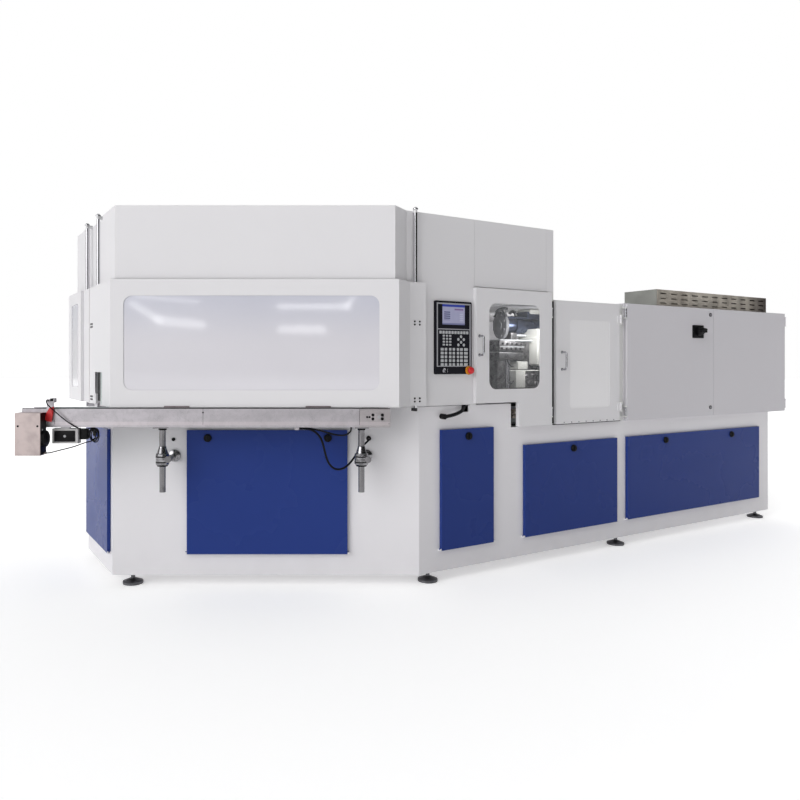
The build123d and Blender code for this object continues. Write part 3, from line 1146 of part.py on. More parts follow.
# Cables and the hose, each by its hand chosen route: along the strip face, out and height
clip_end = CLIP[1]
gland_tip = STATION_FACE + GLAND_REACH
DRIVE_ROUTE = ((clip_end, 1103, 944), (283, 1103, 944), (318, 1102, 937), (348, 1100, 916),
               (370, 1096, 884), (383, 1091, 845), (392, 1084, 801), (405, 1075, 757),
               (428, 1062, 722), (463, 1045, 703), (505, 1025, 710), (543, 1009, 738),
               (576, 999, 776), (604, 993, 812), (622, 986, 838), (633, 977, 853),
               (641, 963, 863), (GLAND[0], gland_tip + 20, GLAND[1]),
               (GLAND[0], gland_tip, GLAND[1]))
LINK_ROUTE = ((clip_end, 1088, 944), (287, 1088, 944), (334, 1090, 939), (386, 1095, 926),
              (436, 1100, 911), (480, 1103, 904), (511, 1106, 909), (529, 1109, 923),
              (536, 1112, 938), (536, 1112, RAIL_LOW))
sensor_tip = near_face + SENSOR_ARM_DEPTH + SENSOR_PLUG[3]
SENSOR_ROUTE = ((SENSOR_PLUG[0], sensor_tip, SENSOR_PLUG[1]),
                (SENSOR_PLUG[0], sensor_tip + 9, SENSOR_PLUG[1]), (-1136, 1164, 1093),
                (-1126, 1165, 1077), (-1106, 1160, 1056), (-1080, 1154, 1031),
                (-1050, 1149, 1003), (-1015, 1142, 974), (-978, 1132, 948), (-945, 1118, 929),
                (-918, 1104, 920))
BOX_ROUTE = ((-918, 1104, 896), (-934, 1106, 877), (-960, 1113, 860), (-997, 1124, 846),
             (-1040, 1136, 835), (-1080, 1147, 826), (-1108, 1155, 818),
             (-1125, DRIVE_PLUG[0], DRIVE_PLUG[1]),
             (DRIVE_BOX[1] + DRIVE_PLUG[3], DRIVE_PLUG[0], DRIVE_PLUG[1]))

with BuildPart() as drive_cable:
    cord_tube("drive_cable", [strip_point(*place) for place in DRIVE_ROUTE], CABLE_RADIUS)
finish(drive_cable.part, "drive_cable")

with BuildPart() as link_cable:
    cord_tube("link_cable", [strip_point(*place) for place in LINK_ROUTE], CABLE_RADIUS)
finish(link_cable.part, "link_cable")

with BuildPart() as sensor_cable:
    cord_tube("sensor_cable", [strip_point(*place) for place in SENSOR_ROUTE],
              SENSOR_CABLE_RADIUS)
    cord_tube("sensor_cable box end", [strip_point(*place) for place in BOX_ROUTE],
              SENSOR_CABLE_RADIUS)
finish(sensor_cable.part, "sensor_cable")

with BuildPart() as sensor_cable_coil:
    with BuildSketch(STRIP_PLANE.offset(COIL_DEPTH[0])) as coil:
        with Locations(COIL_CENTRE):
            Ellipse(COIL_SIZE[0] / 2, COIL_SIZE[1] / 2)
            Ellipse(COIL_SIZE[0] / 2 - COIL_SECTION, COIL_SIZE[1] / 2 - COIL_SECTION,
                    mode=Mode.SUBTRACT)
    extrude(coil.sketch, amount=COIL_DEPTH[1] - COIL_DEPTH[0])
finish(sensor_cable_coil.part, "sensor_cable_coil")

HOSE_ROUTE = ((HOSE_BOSS[0], -HALF_WIDTH - HOSE_BOSS[2], HOSE_BOSS[1]),
              (HOSE_BOSS[0], -1272, HOSE_BOSS[1]), (549, -1289, 993), (580, -1297, 999),
              (622, -1293, 1008), (660, -1281, 1018), (689, -1263, 1029), (710, -1245, 1048),
              (720, -1233, 1072), (726, -1227, 1096), (734, -1224, 1113), (745, -1223, 1121),
              (SEAM_X - TUBE / 2, -1223, 1121))
with BuildPart() as elbow_hose:
    cord_tube("elbow_hose", HOSE_ROUTE, HOSE_RADIUS)
finish(elbow_hose.part, "elbow_hose")

# Index table: a disc with a core rod bar and its rods at each of the stations
with BuildPart() as index_table:
    bar(Plane.XY, TABLE_LOW, TABLE_TOP, (0, 0), TABLE_RADIUS)
    bar_start, bar_end, bar_half = CORE_BAR
    middle_z = (TABLE_LOW + TABLE_TOP) / 2
    for turn in range(STATION_COUNT):
        angle = math.radians(turn * 360 / STATION_COUNT)
        radial = Plane(origin=(0, 0, 0), x_dir=(-math.sin(angle), math.cos(angle), 0),
                       z_dir=(math.cos(angle), math.sin(angle), 0))
        slab(radial, bar_start, bar_end, (-bar_half, bar_half, TABLE_LOW + 4, TABLE_TOP - 4))
        with BuildSketch(radial.offset(bar_end - 2)) as core_row:
            with Locations((0, middle_z)):
                with GridLocations(CORE_PITCH, 1, CORE_ROWS, 1):
                    Circle(CORE_RADIUS)
        extrude(core_row.sketch, amount=CORE_REACH - bar_end + 2)
finish(index_table.part, "index_table")

# Injection and blow stations, both seen along their own outward normals
INJECTION_PLANE = Plane(origin=(0, 0, 0), x_dir=(0, 1, 0), z_dir=(1, 0, 0))
STATIONS = ((INJECTION_PLANE, INJECTION_COLUMNS, INJECTION_YOKE),
            (BLOW_PLANE, BLOW_COLUMNS, BLOW_YOKE))


def upright(plane, out, across):
    """Plan place of something upright at a station, given out and across."""
    place = plane.from_local_coords((across, 0, out))
    return (place.X, place.Y)


with BuildPart() as clamp_frames:
    for plane, columns, yoke in STATIONS:
        for out in columns:
            foot = BED_TOP if out < STEP_X else TAIL_TOP
            for across in (-COLUMN_HALF, COLUMN_HALF):
                bar(Plane.XY, foot, YOKE_LOW - WELD_GAP, upright(plane, out, across), COLUMN_RADIUS)
        cylinder_spot = upright(plane, yoke[2], 0)
        slab(plane, yoke[0], yoke[1],
             (-COLUMN_HALF - PLATEN_EDGE, COLUMN_HALF + PLATEN_EDGE, YOKE_LOW, YOKE_TOP))
        bar(Plane.XY, YOKE_TOP, CYLINDER_TOP, cylinder_spot, CYLINDER_RADIUS)
        bar(Plane.XY, YOKE_LOW - 1, CYLINDER_TOP - 8, cylinder_spot, PISTON_RADIUS + COLUMN_FIT,
            mode=Mode.SUBTRACT)
finish(clamp_frames.part, "clamp_frames")

with BuildPart() as lower_moulds:
    for plane in (INJECTION_PLANE, BLOW_PLANE):
        slab(plane, MOULD[0], MOULD[1], (-MOULD[2], MOULD[2], BED_TOP, LOWER_MOULD_TOP))
finish(lower_moulds.part, "lower_moulds")


def platen(plane, columns, yoke):
    """Moving platen with its upper mould, its piston and bores for the columns."""
    slab(plane, MOULD[0] - 16, yoke[1], (-COLUMN_HALF - PLATEN_EDGE, COLUMN_HALF + PLATEN_EDGE,
                                         PLATEN_LOW, PLATEN_TOP))
    slab(plane, MOULD[0], MOULD[1], (-MOULD[2], MOULD[2], UPPER_MOULD_LOW, PLATEN_LOW))
    bar(Plane.XY, PLATEN_TOP, YOKE_TOP - 20, upright(plane, yoke[2], 0), PISTON_RADIUS)
    for out in columns:
        for across in (-COLUMN_HALF, COLUMN_HALF):
            bar(Plane.XY, PLATEN_LOW - 1, PLATEN_TOP + 1, upright(plane, out, across),
                COLUMN_RADIUS + COLUMN_FIT, mode=Mode.SUBTRACT)


with BuildPart() as injection_platen:
    platen(*STATIONS[0])
finish(injection_platen.part, "injection_platen")

with BuildPart() as blow_platen:
    platen(*STATIONS[1])
finish(blow_platen.part, "blow_platen")

# Injection unit: carriage on the rails with its barrel and nozzle
with BuildPart() as injection_unit:
    carriage_start, carriage_end, carriage_half, carriage_top = CARRIAGE
    carriage_low = TAIL_TOP + SLIDE_RAIL_SIZE[1] + SEAT
    slab(INJECTION_PLANE, carriage_start, carriage_end,
         (-carriage_half, carriage_half, carriage_low, carriage_top))
    slab(INJECTION_PLANE, carriage_start + CARRIAGE_WALL, carriage_end + 1,
         (-carriage_half + CARRIAGE_WALL, carriage_half - CARRIAGE_WALL,
          carriage_low + CARRIAGE_WALL, carriage_top - CARRIAGE_WALL), mode=Mode.SUBTRACT)
    bar(INJECTION_PLANE, BARREL_START, carriage_start, (0, BARREL_Z), BARREL_RADIUS)
    bar(INJECTION_PLANE, MOULD[1] + SEAT, BARREL_START, (0, BARREL_Z), NOZZLE_RADIUS)
finish(injection_unit.part, "injection_unit")

# Stripper plate on its two guide bars, which the bed carries
with BuildPart() as stripper_plate:
    slab(STRIP_PLANE, STRIPPER[0], STRIPPER[1], (-STRIPPER[2], STRIPPER[2], STRIPPER[3], STRIPPER[4]))
    for side in (-1, 1):
        bar(STRIP_PLANE, STRIPPER[0] - 1, STRIPPER[1] + 1,
            (side * STRIPPER_BARS[0], STRIPPER_BARS[1]), STRIPPER_BARS[2] + SHAFT_FIT,
            mode=Mode.SUBTRACT)
finish(stripper_plate.part, "stripper_plate")

# Blue base doors, each hung by two pegs with quarter turn latches near its top
with BuildPart() as front_base_door:
    base_door(STRIP_PLANE, STATION_FACE, FRONT_DOOR, FRONT_LATCHES)
finish(front_base_door.part, "front_base_door")

with BuildPart() as end_base_door:
    base_door(END_PLANE, END_FACE, END_DOOR, END_LATCHES)
finish(end_base_door.part, "end_base_door")

with BuildPart() as side_base_door_1:
    base_door(OPERATOR_PLANE, HALF_WIDTH, SIDE_DOORS[0], SIDE_LATCHES[0])
finish(side_base_door_1.part, "side_base_door_1")

with BuildPart() as side_base_door_2:
    base_door(OPERATOR_PLANE, HALF_WIDTH, SIDE_DOORS[1], SIDE_LATCHES[1])
finish(side_base_door_2.part, "side_base_door_2")

with BuildPart() as side_base_door_3:
    base_door(OPERATOR_PLANE, HALF_WIDTH, SIDE_DOORS[2], SIDE_LATCHES[2])
finish(side_base_door_3.part, "side_base_door_3")
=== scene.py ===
import json
import math

import bmesh
import bpy
from mathutils import Matrix, Vector


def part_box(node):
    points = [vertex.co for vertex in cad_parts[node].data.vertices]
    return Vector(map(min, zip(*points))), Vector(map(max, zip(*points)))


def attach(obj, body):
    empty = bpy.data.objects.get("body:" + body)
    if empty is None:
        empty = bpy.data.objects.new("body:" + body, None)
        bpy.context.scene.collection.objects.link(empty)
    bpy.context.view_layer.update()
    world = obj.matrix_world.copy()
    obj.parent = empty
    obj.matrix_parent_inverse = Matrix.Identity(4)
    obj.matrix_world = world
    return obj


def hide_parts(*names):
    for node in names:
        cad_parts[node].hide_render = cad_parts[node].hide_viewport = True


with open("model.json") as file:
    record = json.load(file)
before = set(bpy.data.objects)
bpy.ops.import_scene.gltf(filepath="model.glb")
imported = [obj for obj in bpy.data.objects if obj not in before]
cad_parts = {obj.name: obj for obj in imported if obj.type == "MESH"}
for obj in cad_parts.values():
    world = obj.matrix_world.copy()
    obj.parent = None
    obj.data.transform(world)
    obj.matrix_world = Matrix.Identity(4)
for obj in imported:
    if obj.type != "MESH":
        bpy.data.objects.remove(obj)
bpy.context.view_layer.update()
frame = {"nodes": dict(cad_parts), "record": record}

# Directions of the machine's walls: the strip face is turned 30 degrees from the operator side
STRIP_TURN = math.radians(30)
SIN = math.sin(STRIP_TURN)
COS = math.cos(STRIP_TURN)


def wall(along, out):
    """Matrix from a wall's own axes, along, up and out, to the machine's axes."""
    return Matrix((along, (0, 0, 1), out)).transposed().to_4x4()


OPERATOR = wall((1, 0, 0), (0, -1, 0))
STRIP = wall((COS, -SIN, 0), (-SIN, -COS, 0))
END = wall((0, -1, 0), (-1, 0, 0))
FAR = wall((-1, 0, 0), (0, 1, 0))
FLOOR = Matrix.Identity(4)


def on_strip(along, out, up):
    """A place given along the strip face, out from the index axis and in height."""
    return STRIP @ Vector((along, up, out))


# Shader building
class Signal:
    """One output of a node, on which sums add their Math nodes."""

    def __init__(self, graph, socket):
        self.graph = graph
        self.socket = socket

    def math(self, operation, first, second):
        return self.graph.node("ShaderNodeMath", {"operation": operation}, {0: first, 1: second})

    def __add__(self, other):
        return self.math("ADD", self, other)

    __radd__ = __add__

    def __sub__(self, other):
        return self.math("SUBTRACT", self, other)

    def __rsub__(self, other):
        return self.math("SUBTRACT", other, self)

    def __mul__(self, other):
        return self.math("MULTIPLY", self, other)

    __rmul__ = __mul__

    def __pow__(self, other):
        return self.math("POWER", self, other)


class Graph:
    """A node tree in the making."""

    def __init__(self, tree):
        self.tree = tree

    def node(self, kind, settings, inputs, output=0):
        """Adds a node, sets it up, then gives its sockets their values or links."""
        made = self.tree.nodes.new(kind)
        for key, value in settings.items():
            setattr(made, key, value)
        for key, value in inputs.items():
            self.join(self.pick(made.inputs, key), value)
        return Signal(self, self.pick(made.outputs, output))

    def pick(self, sockets, key):
        """A socket by its number, or by its name among those in use."""
        if isinstance(key, int):
            return sockets[key]
        return next(socket for socket in sockets if socket.enabled and socket.name == key)

    def join(self, socket, value):
        if isinstance(value, Signal):
            self.tree.links.new(value.socket, socket)
        else:
            socket.default_value = value

    def ramp(self, value, low, high, start=0.0, stop=1.0):
        """Value eased from start to stop as it goes from low to high."""
        return self.node("ShaderNodeMapRange", {"interpolation_type": "SMOOTHSTEP"},
                         {"Value": value, "From Min": low, "From Max": high,
                          "To Min": start, "To Max": stop})

    def along(self, vector, direction):
        """How far a vector reaches along a direction."""
        return self.node("ShaderNodeVectorMath", {"operation": "DOT_PRODUCT"},
                         {0: vector, 1: direction}, "Value")


# Every finish by its name
FINISHES = {}


class Finish(Graph):
    """A material in the making, with the nodes that its surface needs."""

    def __init__(self, name):
        self.material = FINISHES[name] = bpy.data.materials.new(name)
        self.material.use_nodes = True
        super().__init__(self.material.node_tree)
        self.shader = self.tree.nodes["Principled BSDF"]
        self.place = self.node("ShaderNodeTexCoord", {}, {}, "Object")

    def surface(self, **values):
        """Sets the shader's sockets, named with underscores for spaces."""
        for key, value in values.items():
            self.join(self.shader.inputs[key.replace("_", " ")], value)
        return self.material

    def tones(self, scale, detail=3.0, stretch=(1, 1, 1), turn=0.0):
        """Noise from 0 to 1 whose blots are about 1 / scale metres across."""
        spot = self.node("ShaderNodeMapping", {},
                         {"Vector": self.place, "Rotation": (0, 0, turn), "Scale": stretch})
        return self.node("ShaderNodeTexNoise", {}, {"Vector": spot, "Scale": scale, "Detail": detail})

    def contour(self, scale, width):
        """Thin wandering lines, where the noise passes its middle value."""
        level = self.tones(scale) - 0.5
        return self.ramp(level.math("ABSOLUTE", level, 0.0), 0.0, width, 1.0, 0.0)

    def axis(self, letter):
        """One coordinate of the surface, in metres."""
        return self.node("ShaderNodeSeparateXYZ", {}, {"Vector": self.place}, letter)

    def between(self, value, low, high, soft=0.0004):
        """Mask of the stretch from low to high."""
        return (self.ramp(value, low - soft, low + soft)
                * self.ramp(value, high - soft, high + soft, 1.0, 0.0))

    def blend(self, factor, first, second):
        """Colour between two, by a factor."""
        return self.node("ShaderNodeMix", {"data_type": "RGBA"},
                         {"Factor": factor, "A": shade(first), "B": shade(second)}, "Result")

    def bump(self, height, distance):
        """Normal from a height, where distance is the height's full depth in metres."""
        return self.node("ShaderNodeBump", {},
                         {"Height": height, "Distance": distance, "Strength": 1.0}, "Normal")


def shade(colour):
    """Colour with its alpha, or a link as it is."""
    return colour if isinstance(colour, Signal) else (*colour, 1.0)


def darker(colour, by):
    return tuple(part * (1 - by) for part in colour)


def powder_coat(name, colour, grain=260.0, gloss=0.38, soiling=0.05, glint=0.5):
    """Baked powder coat: orange peel, clouds a few percent deep and some dust near the floor."""
    coat = Finish(name)
    clouds = coat.tones(1.6, 4.0)
    dust = coat.tones(9.0, 5.0) * coat.ramp(coat.axis("Z"), 0.05, 0.45, 1.0, 0.0)
    tone = coat.blend(clouds, colour, darker(colour, 0.035))
    tone = coat.blend(dust * soiling * 4, tone, darker(colour, 0.3))
    peel = coat.tones(grain, 1.0)
    sag = coat.tones(1.3, 1.0)
    shine = coat.ramp(clouds, 0.2, 0.8, gloss - 0.04, gloss + 0.06)
    coat.surface(Base_Color=tone, Roughness=shine, Specular_IOR_Level=glint,
                 Normal=coat.bump(peel * 0.00012 + sag * 0.004, 0.35))


BRUSH_SCALE = 900.0
BRUSH_DEPTH = 0.00006
ROLLED = (0.02, 1, 1)


def metal(name, colour, rough, brush=(1, 1, 1), turn=0.0, blots=0.12, scale=14.0):
    """Bare or plated metal with brush lines, soft smudges and uneven shine."""
    steel = Finish(name)
    smudge = steel.tones(scale, 5.0)
    lines = steel.tones(BRUSH_SCALE, 2.0, brush, turn)
    tone = steel.blend(steel.ramp(smudge, 0.35, 0.7), colour, darker(colour, blots))
    shine = steel.ramp(smudge, 0.3, 0.75, rough, rough + 0.14) + (lines - 0.5) * 0.08
    steel.surface(Base_Color=tone, Metallic=1.0, Roughness=shine, Normal=steel.bump(lines, BRUSH_DEPTH))


def plastic(name, colour, rough, grain=700.0, depth=0.00005, fade=0.12, glint=0.5):
    """Moulded plastic or rubber with a fine grain and a worn sheen."""
    body = Finish(name)
    wear = body.tones(30.0, 4.0)
    tone = body.blend(wear, colour, darker(colour, fade))
    body.surface(Base_Color=tone, Roughness=body.ramp(wear, 0.3, 0.7, rough, rough + 0.12),
                 Normal=body.bump(body.tones(grain, 2.0), depth), Specular_IOR_Level=glint)


def ground_sheet(name, colour):
    """Stainless sheet with wandering grinding marks, soft clouds and a paler foot lip."""
    sheet = Finish(name)
    clouds = sheet.tones(6.0, 3.0, (1, 1, 2.2))
    patches = sheet.tones(26.0, 4.0)
    marks = sheet.contour(13.0, 0.012) * patches + sheet.contour(47.0, 0.02) * clouds
    lip = sheet.between(sheet.axis("Z"), 0.964, 0.984, 0.0006)
    tail = sheet.ramp(sheet.along(sheet.place, (COS, -SIN, 0)), 0.5812, 0.5816)
    tone = sheet.blend(sheet.ramp(clouds, 0.35, 0.68), colour, darker(colour, 0.13))
    tone = sheet.blend(sheet.ramp(patches, 0.4, 0.62) * 0.5, tone, darker(colour, 0.16))
    tone = sheet.blend(tail * 0.55, tone, darker((0.47, 0.43, 0.43), 0.1))
    tone = sheet.blend(marks * 0.5, tone, darker(colour, 0.5))
    tone = sheet.blend(lip * 0.4, tone, (0.66, 0.6, 0.62))
    shine = sheet.ramp(patches, 0.3, 0.7, 0.34, 0.5)
    brushed = sheet.bump(sheet.tones(BRUSH_SCALE, 2.0, ROLLED, STRIP_TURN), BRUSH_DEPTH)
    sheet.surface(Base_Color=tone, Metallic=1.0, Roughness=shine, Normal=brushed)


def sheet_with_painted_light(name, left):
    """Stainless of the vent box, with painted light: a greenish painted reflection on the end wall, and
    a warm front that darkens to its far end as painted shade.
    """
    sheet = Finish(name)
    # painted reflection: the end wall, just past the box's left end, gets a greenish tone of its own
    end = sheet.ramp(sheet.axis("X"), left + 0.0012, left + 0.002, 1.0, 0.0)
    clouds = sheet.tones(3.2, 4.0, (1, 1, 0.5))
    blots = sheet.tones(11.0, 3.0)
    # painted shade: the front darkens in blots towards its far end, where its glints fade
    far = sheet.ramp(sheet.axis("X") + blots * 0.25, left + 1.3, left + 1.62)
    tone = sheet.blend(sheet.ramp(clouds, 0.38, 0.62), (0.86, 0.8, 0.71), (0.62, 0.56, 0.49))
    tone = sheet.blend(far * 0.85, tone, (0.07, 0.05, 0.05))
    tone = sheet.blend(end, tone, (0.52, 0.53, 0.49))
    shine = sheet.ramp(blots, 0.3, 0.7, 0.36, 0.5)
    brushed = sheet.bump(sheet.tones(BRUSH_SCALE, 2.0, ROLLED), BRUSH_DEPTH)
    sheet.surface(Base_Color=tone, Metallic=1.0, Roughness=shine, Normal=brushed)


def rod_chrome(name, low, high):
    """Guide rods: hard chrome, with blackened foot blocks and painted brackets under the caps."""
    rods = Finish(name)
    height = rods.axis("Z")
    foot = (rods.ramp(height, low + 0.0181, low + 0.0187, 1.0, 0.0)
            * rods.ramp(rods.axis("X"), -0.5, 0.0))
    bracket = rods.between(height, high - 0.0325, high - 0.0138)
    wear = rods.tones(40.0, 3.0, (1, 1, 0.2))
    tone = rods.blend(wear, (0.56, 0.56, 0.58), (0.44, 0.44, 0.46))
    tone = rods.blend(foot, tone, (0.012, 0.012, 0.014))
    tone = rods.blend(bracket, tone, (0.62, 0.62, 0.63))
    bare = 1.0 - (foot + bracket)
    rods.surface(Base_Color=tone, Metallic=bare, Roughness=0.42 - bare * 0.28)


def frosted_pane(name):
    """Milky polycarbonate sheet: it lets little through and bows a little between its screws."""
    pane = Finish(name)
    height = pane.axis("Z")
    clouds = pane.tones(2.2, 3.0)
    # painted shade: the pane darkens and turns bluer from 1.38 m up to 1.7 m
    tone = pane.blend(pane.ramp(height, 1.38, 1.7), (0.71, 0.695, 0.74), (0.57, 0.58, 0.665))
    tone = pane.blend(clouds * 0.3, tone, (0.72, 0.7, 0.75))
    bow = pane.tones(1.7, 2.0, (1, 1, 2.4))
    pane.surface(Base_Color=tone, Roughness=0.2, IOR=1.5, Coat_Weight=1.0, Coat_Roughness=0.05,
                 Alpha=pane.ramp(clouds, 0, 1, 0.94, 0.97), Normal=pane.bump(bow, 0.006))


def clear_pane(name):
    """Clear polycarbonate with faint dust."""
    pane = Finish(name)
    dust = pane.tones(60.0, 4.0)
    pane.surface(Base_Color=pane.blend(dust, (0.7, 0.74, 0.78), (0.85, 0.85, 0.85)),
                 Roughness=0.06, IOR=1.5, Alpha=pane.ramp(dust, 0.3, 0.9, 0.05, 0.1),
                 Normal=pane.bump(pane.tones(3.0, 1.0), 0.002))


def lit_screen(name):
    """Lit screen with a title bar, a grid of pale fields and a few dark bars, without any words."""
    glass = Finish(name)
    across, up = glass.axis("X"), glass.axis("Z")
    left, right, low, high = 0.52, 0.694, 1.538, 1.662
    title = glass.between(up, high - 0.017, high)
    foot = glass.between(up, low, low + 0.01)
    chart = (glass.between(up, low + 0.028, low + 0.078)
             * glass.between(across, left + 0.014, left + 0.06))
    rows = glass.node("ShaderNodeTexWave", {"wave_type": "BANDS", "bands_direction": "Z"},
                      {"Vector": glass.place, "Scale": 26.0, "Distortion": 0.0}, 1)
    strip = (glass.between(up, high - 0.036, high - 0.027)
             * glass.between(across, right - 0.08, right - 0.012))
    column = (glass.between(across, right - 0.04, right - 0.012)
              * glass.between(up, low + 0.02, high - 0.05))
    tone = glass.blend(glass.tones(30.0), (0.25, 0.255, 0.37), (0.3, 0.3, 0.42))
    tone = glass.blend(title, tone, (0.035, 0.05, 0.26))
    tone = glass.blend(foot * 0.7, tone, (0.09, 0.1, 0.22))
    tone = glass.blend(chart * glass.ramp(rows, 0.4, 0.6), tone, (0.04, 0.05, 0.12))
    tone = glass.blend(strip, tone, (0.16, 0.1, 0.22))
    tone = glass.blend(column * glass.ramp(rows, 0.45, 0.55) * 0.5, tone, (0.46, 0.47, 0.55))
    glass.surface(Base_Color=tone, Roughness=0.16, Emission_Color=tone, Emission_Strength=0.35,
                  Normal=glass.bump(glass.tones(400.0), 0.00002))


# Finishes of the record's slots
# painted light: the base paint is lighter than the panel paint, making up for the shade under the guard
# and conveyor
powder_coat("base_paint", (0.79, 0.775, 0.8), soiling=0.07, glint=0.35)
powder_coat("panel_paint", (0.735, 0.725, 0.745), glint=0.35)
powder_coat("cabinet_paint", (0.62, 0.605, 0.638), 420.0, 0.45, glint=0.35)
powder_coat("door_paint", (0.021, 0.045, 0.215), 260.0, 0.26, 0.02, 0.1)
powder_coat("frame_paint", (0.72, 0.72, 0.71), glint=0.35)
powder_coat("unit_paint", (0.5, 0.5, 0.47), 300.0, 0.4)
ground_sheet("stainless", (0.5, 0.475, 0.505))
metal("machined_steel", (0.48, 0.48, 0.5), 0.26, (1, 1, 0.05))
metal("plated_steel", (0.43, 0.43, 0.455), 0.12, (1, 1, 0.03), 0.0, 0.08, 12.0)
plastic("belt", (0.03, 0.2, 0.15), 0.45, 1400.0, 0.0002)
plastic("black_plastic", (0.004, 0.004, 0.005), 0.36, glint=0.16)
plastic("panel_membrane", (0.005, 0.005, 0.01), 0.33, 1500.0, 0.00003, glint=0.18)
plastic("red_plastic", (0.64, 0.03, 0.035), 0.25, glint=0.3)
plastic("yellow_plastic", (0.82, 0.3, 0.02), 0.3, glint=0.3)
plastic("cable_jacket", (0.004, 0.004, 0.006), 0.4, 900.0, 0.0001, glint=0.16)
plastic("grey_plastic", (0.5, 0.49, 0.495), 0.42)
frosted_pane("glazing")
lit_screen("screen_glass")

# Finishes of single nodes and of the pieces added here
rod_chrome("rod_steel", *(corner.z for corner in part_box("guard_rods")))
sheet_with_painted_light("vent_steel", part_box("vent_box")[0].x)
clear_pane("clear_pane")
powder_coat("frosted_sheet", (0.84, 0.83, 0.845), 200.0, 0.22, 0.0)
powder_coat("casting", (0.17, 0.17, 0.18), 500.0, 0.5)
metal("dark_steel", (0.16, 0.16, 0.17), 0.3, blots=0.3, scale=25.0)
metal("post_steel", (0.23, 0.225, 0.235), 0.2, (1, 1, 0.03), 0.0, 0.25, 9.0)
metal("clamp_steel", (0.36, 0.355, 0.37), 0.18, blots=0.45, scale=40.0)
metal("blue_steel", (0.1, 0.12, 0.19), 0.26, (0.05, 1, 1), 0.0, 0.3, 18.0)
metal("valve_steel", (0.21, 0.205, 0.21), 0.34, blots=0.5, scale=22.0)
metal("brass", (0.7, 0.62, 0.55), 0.35, blots=0.75, scale=90.0)
metal("lining", (0.55, 0.62, 0.61), 0.3, (1, 1, 0.05))
metal("warm_steel", (0.5, 0.425, 0.415), 0.34, ROLLED, STRIP_TURN, 0.22, 13.0)
metal("grip_steel", (0.22, 0.19, 0.2), 0.4)
plastic("key_cap", (0.5, 0.51, 0.53), 0.4)
plastic("bezel", (0.36, 0.36, 0.39), 0.35)
plastic("seal_red", (0.16, 0.012, 0.02), 0.5, glint=0.2)
plastic("gloss_black", (0.006, 0.006, 0.007), 0.12)
NODE_FINISHES = {"clamp_door_window": "clear_pane", "nozzle_door_window": "frosted_sheet",
                 "levelling_feet": "dark_steel", "conveyor_drive_box": "warm_steel",
                 "vent_box": "vent_steel", "conveyor_supports": "post_steel", "guard_rods": "rod_steel"}

for subpart in frame["record"]["subparts"]:
    dressed = frame["nodes"][subpart["node"]]
    chosen = FINISHES[NODE_FINISHES.get(subpart["node"], subpart["material_slot"])]
    if not dressed.material_slots:
        dressed.data.materials.append(chosen)
    for place in dressed.material_slots:
        place.material = chosen


# Mesh building, in a wall's own axes: along, up and out
def block(form, span, rise, reach, corner=0.0, rim=0.0, steps=3):
    """Block from span, rise and reach, with rounded upright edges and an eased front rim."""
    made = bmesh.ops.create_cube(form, size=1)["verts"]
    low, high = (Vector(end) for end in zip(span, rise, reach))
    bmesh.ops.scale(form, vec=high - low, verts=made)
    bmesh.ops.translate(form, vec=(low + high) / 2, verts=made)
    edges = {edge for vert in made for edge in vert.link_edges}
    if corner:
        sides = [edge for edge in edges if abs(edge.verts[0].co.z - edge.verts[1].co.z) > 1e-7]
        bevelled = bmesh.ops.bevel(form, geom=sides, offset=corner, segments=steps, affect="EDGES",
                                   profile=0.5, material=-1)
        edges = {edge for face in bevelled["faces"] for vert in face.verts for edge in vert.link_edges}
    if rim:
        front = [edge for edge in edges if all(abs(vert.co.z - reach[1]) < 1e-7 for vert in edge.verts)
                 and len(edge.link_faces) == 2
                 and any(abs(face.normal.z) < 0.5 for face in edge.link_faces)]
        bmesh.ops.bevel(form, geom=front, offset=rim, segments=2, affect="EDGES", profile=0.5,
                        material=-1)


ACROSS = True


def turned(form, outline, centre, steps, across=False):
    """Round piece spun from (radius, out) points, about an axis that points out, or along."""
    x, y = centre
    spin_axis = (1, 0, 0) if across else (0, 0, 1)
    corners = []
    for radius, out in outline:
        corners.append(form.verts.new((out, x + radius, y) if across else (x + radius, y, out)))
    edges = [form.edges.new(pair) for pair in zip(corners, corners[1:])]
    centre_point = (0, x, y) if across else (x, y, 0)
    bmesh.ops.spin(form, geom=corners + edges, cent=centre_point, axis=spin_axis,
                   angle=2 * math.pi, steps=steps, use_merge=True)
    bmesh.ops.remove_doubles(form, verts=form.verts, dist=1e-6)


def cap_screws(form, spots, out, radius, height):
    """Socket head screws: crowned heads with a sunk socket."""
    for spot in spots:
        turned(form, [(0, out + height * 0.35), (radius * 0.5, out + height * 0.35),
                      (radius * 0.5, out + height), (radius * 0.85, out + height),
                      (radius, out + height * 0.7), (radius, out)], spot, 12)


def round_spots(centre, radius, count, start):
    """Places spread evenly round a circle, from a start angle in degrees."""
    for step in range(count):
        angle = math.radians(start + 360 / count * step)
        yield centre[0] + radius * math.cos(angle), centre[1] + radius * math.sin(angle)


def add_object(name, data):
    """New object of the scene, unturned at the origin."""
    made = bpy.data.objects.new(name, data)
    bpy.context.scene.collection.objects.link(made)
    return made


SHARP_EDGE = math.radians(32)


def settle(form, name, place, slot, body="machine", finish=None, replaced=()):
    """Makes a bmesh a piece of the machine, on its body and in its slot's finish or another."""
    bmesh.ops.transform(form, matrix=place, verts=form.verts)
    bmesh.ops.recalc_face_normals(form, faces=form.faces)
    mesh = bpy.data.meshes.new(name)
    form.to_mesh(mesh)
    form.free()
    mesh.shade_smooth()
    mesh.set_sharp_from_angle(angle=SHARP_EDGE)
    mesh.materials.append(FINISHES[finish or slot])
    made = add_object(name, mesh)
    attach(made, body)
    if replaced:
        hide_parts(*replaced)


def fit(name, place, slot, *shapes, body="machine", finish=None, replaced=()):
    """A piece of whole shapes, each given as its maker and what it is told."""
    form = bmesh.new()
    for make, *told in shapes:
        make(form, *told)
    settle(form, name, place, slot, body, finish, replaced)


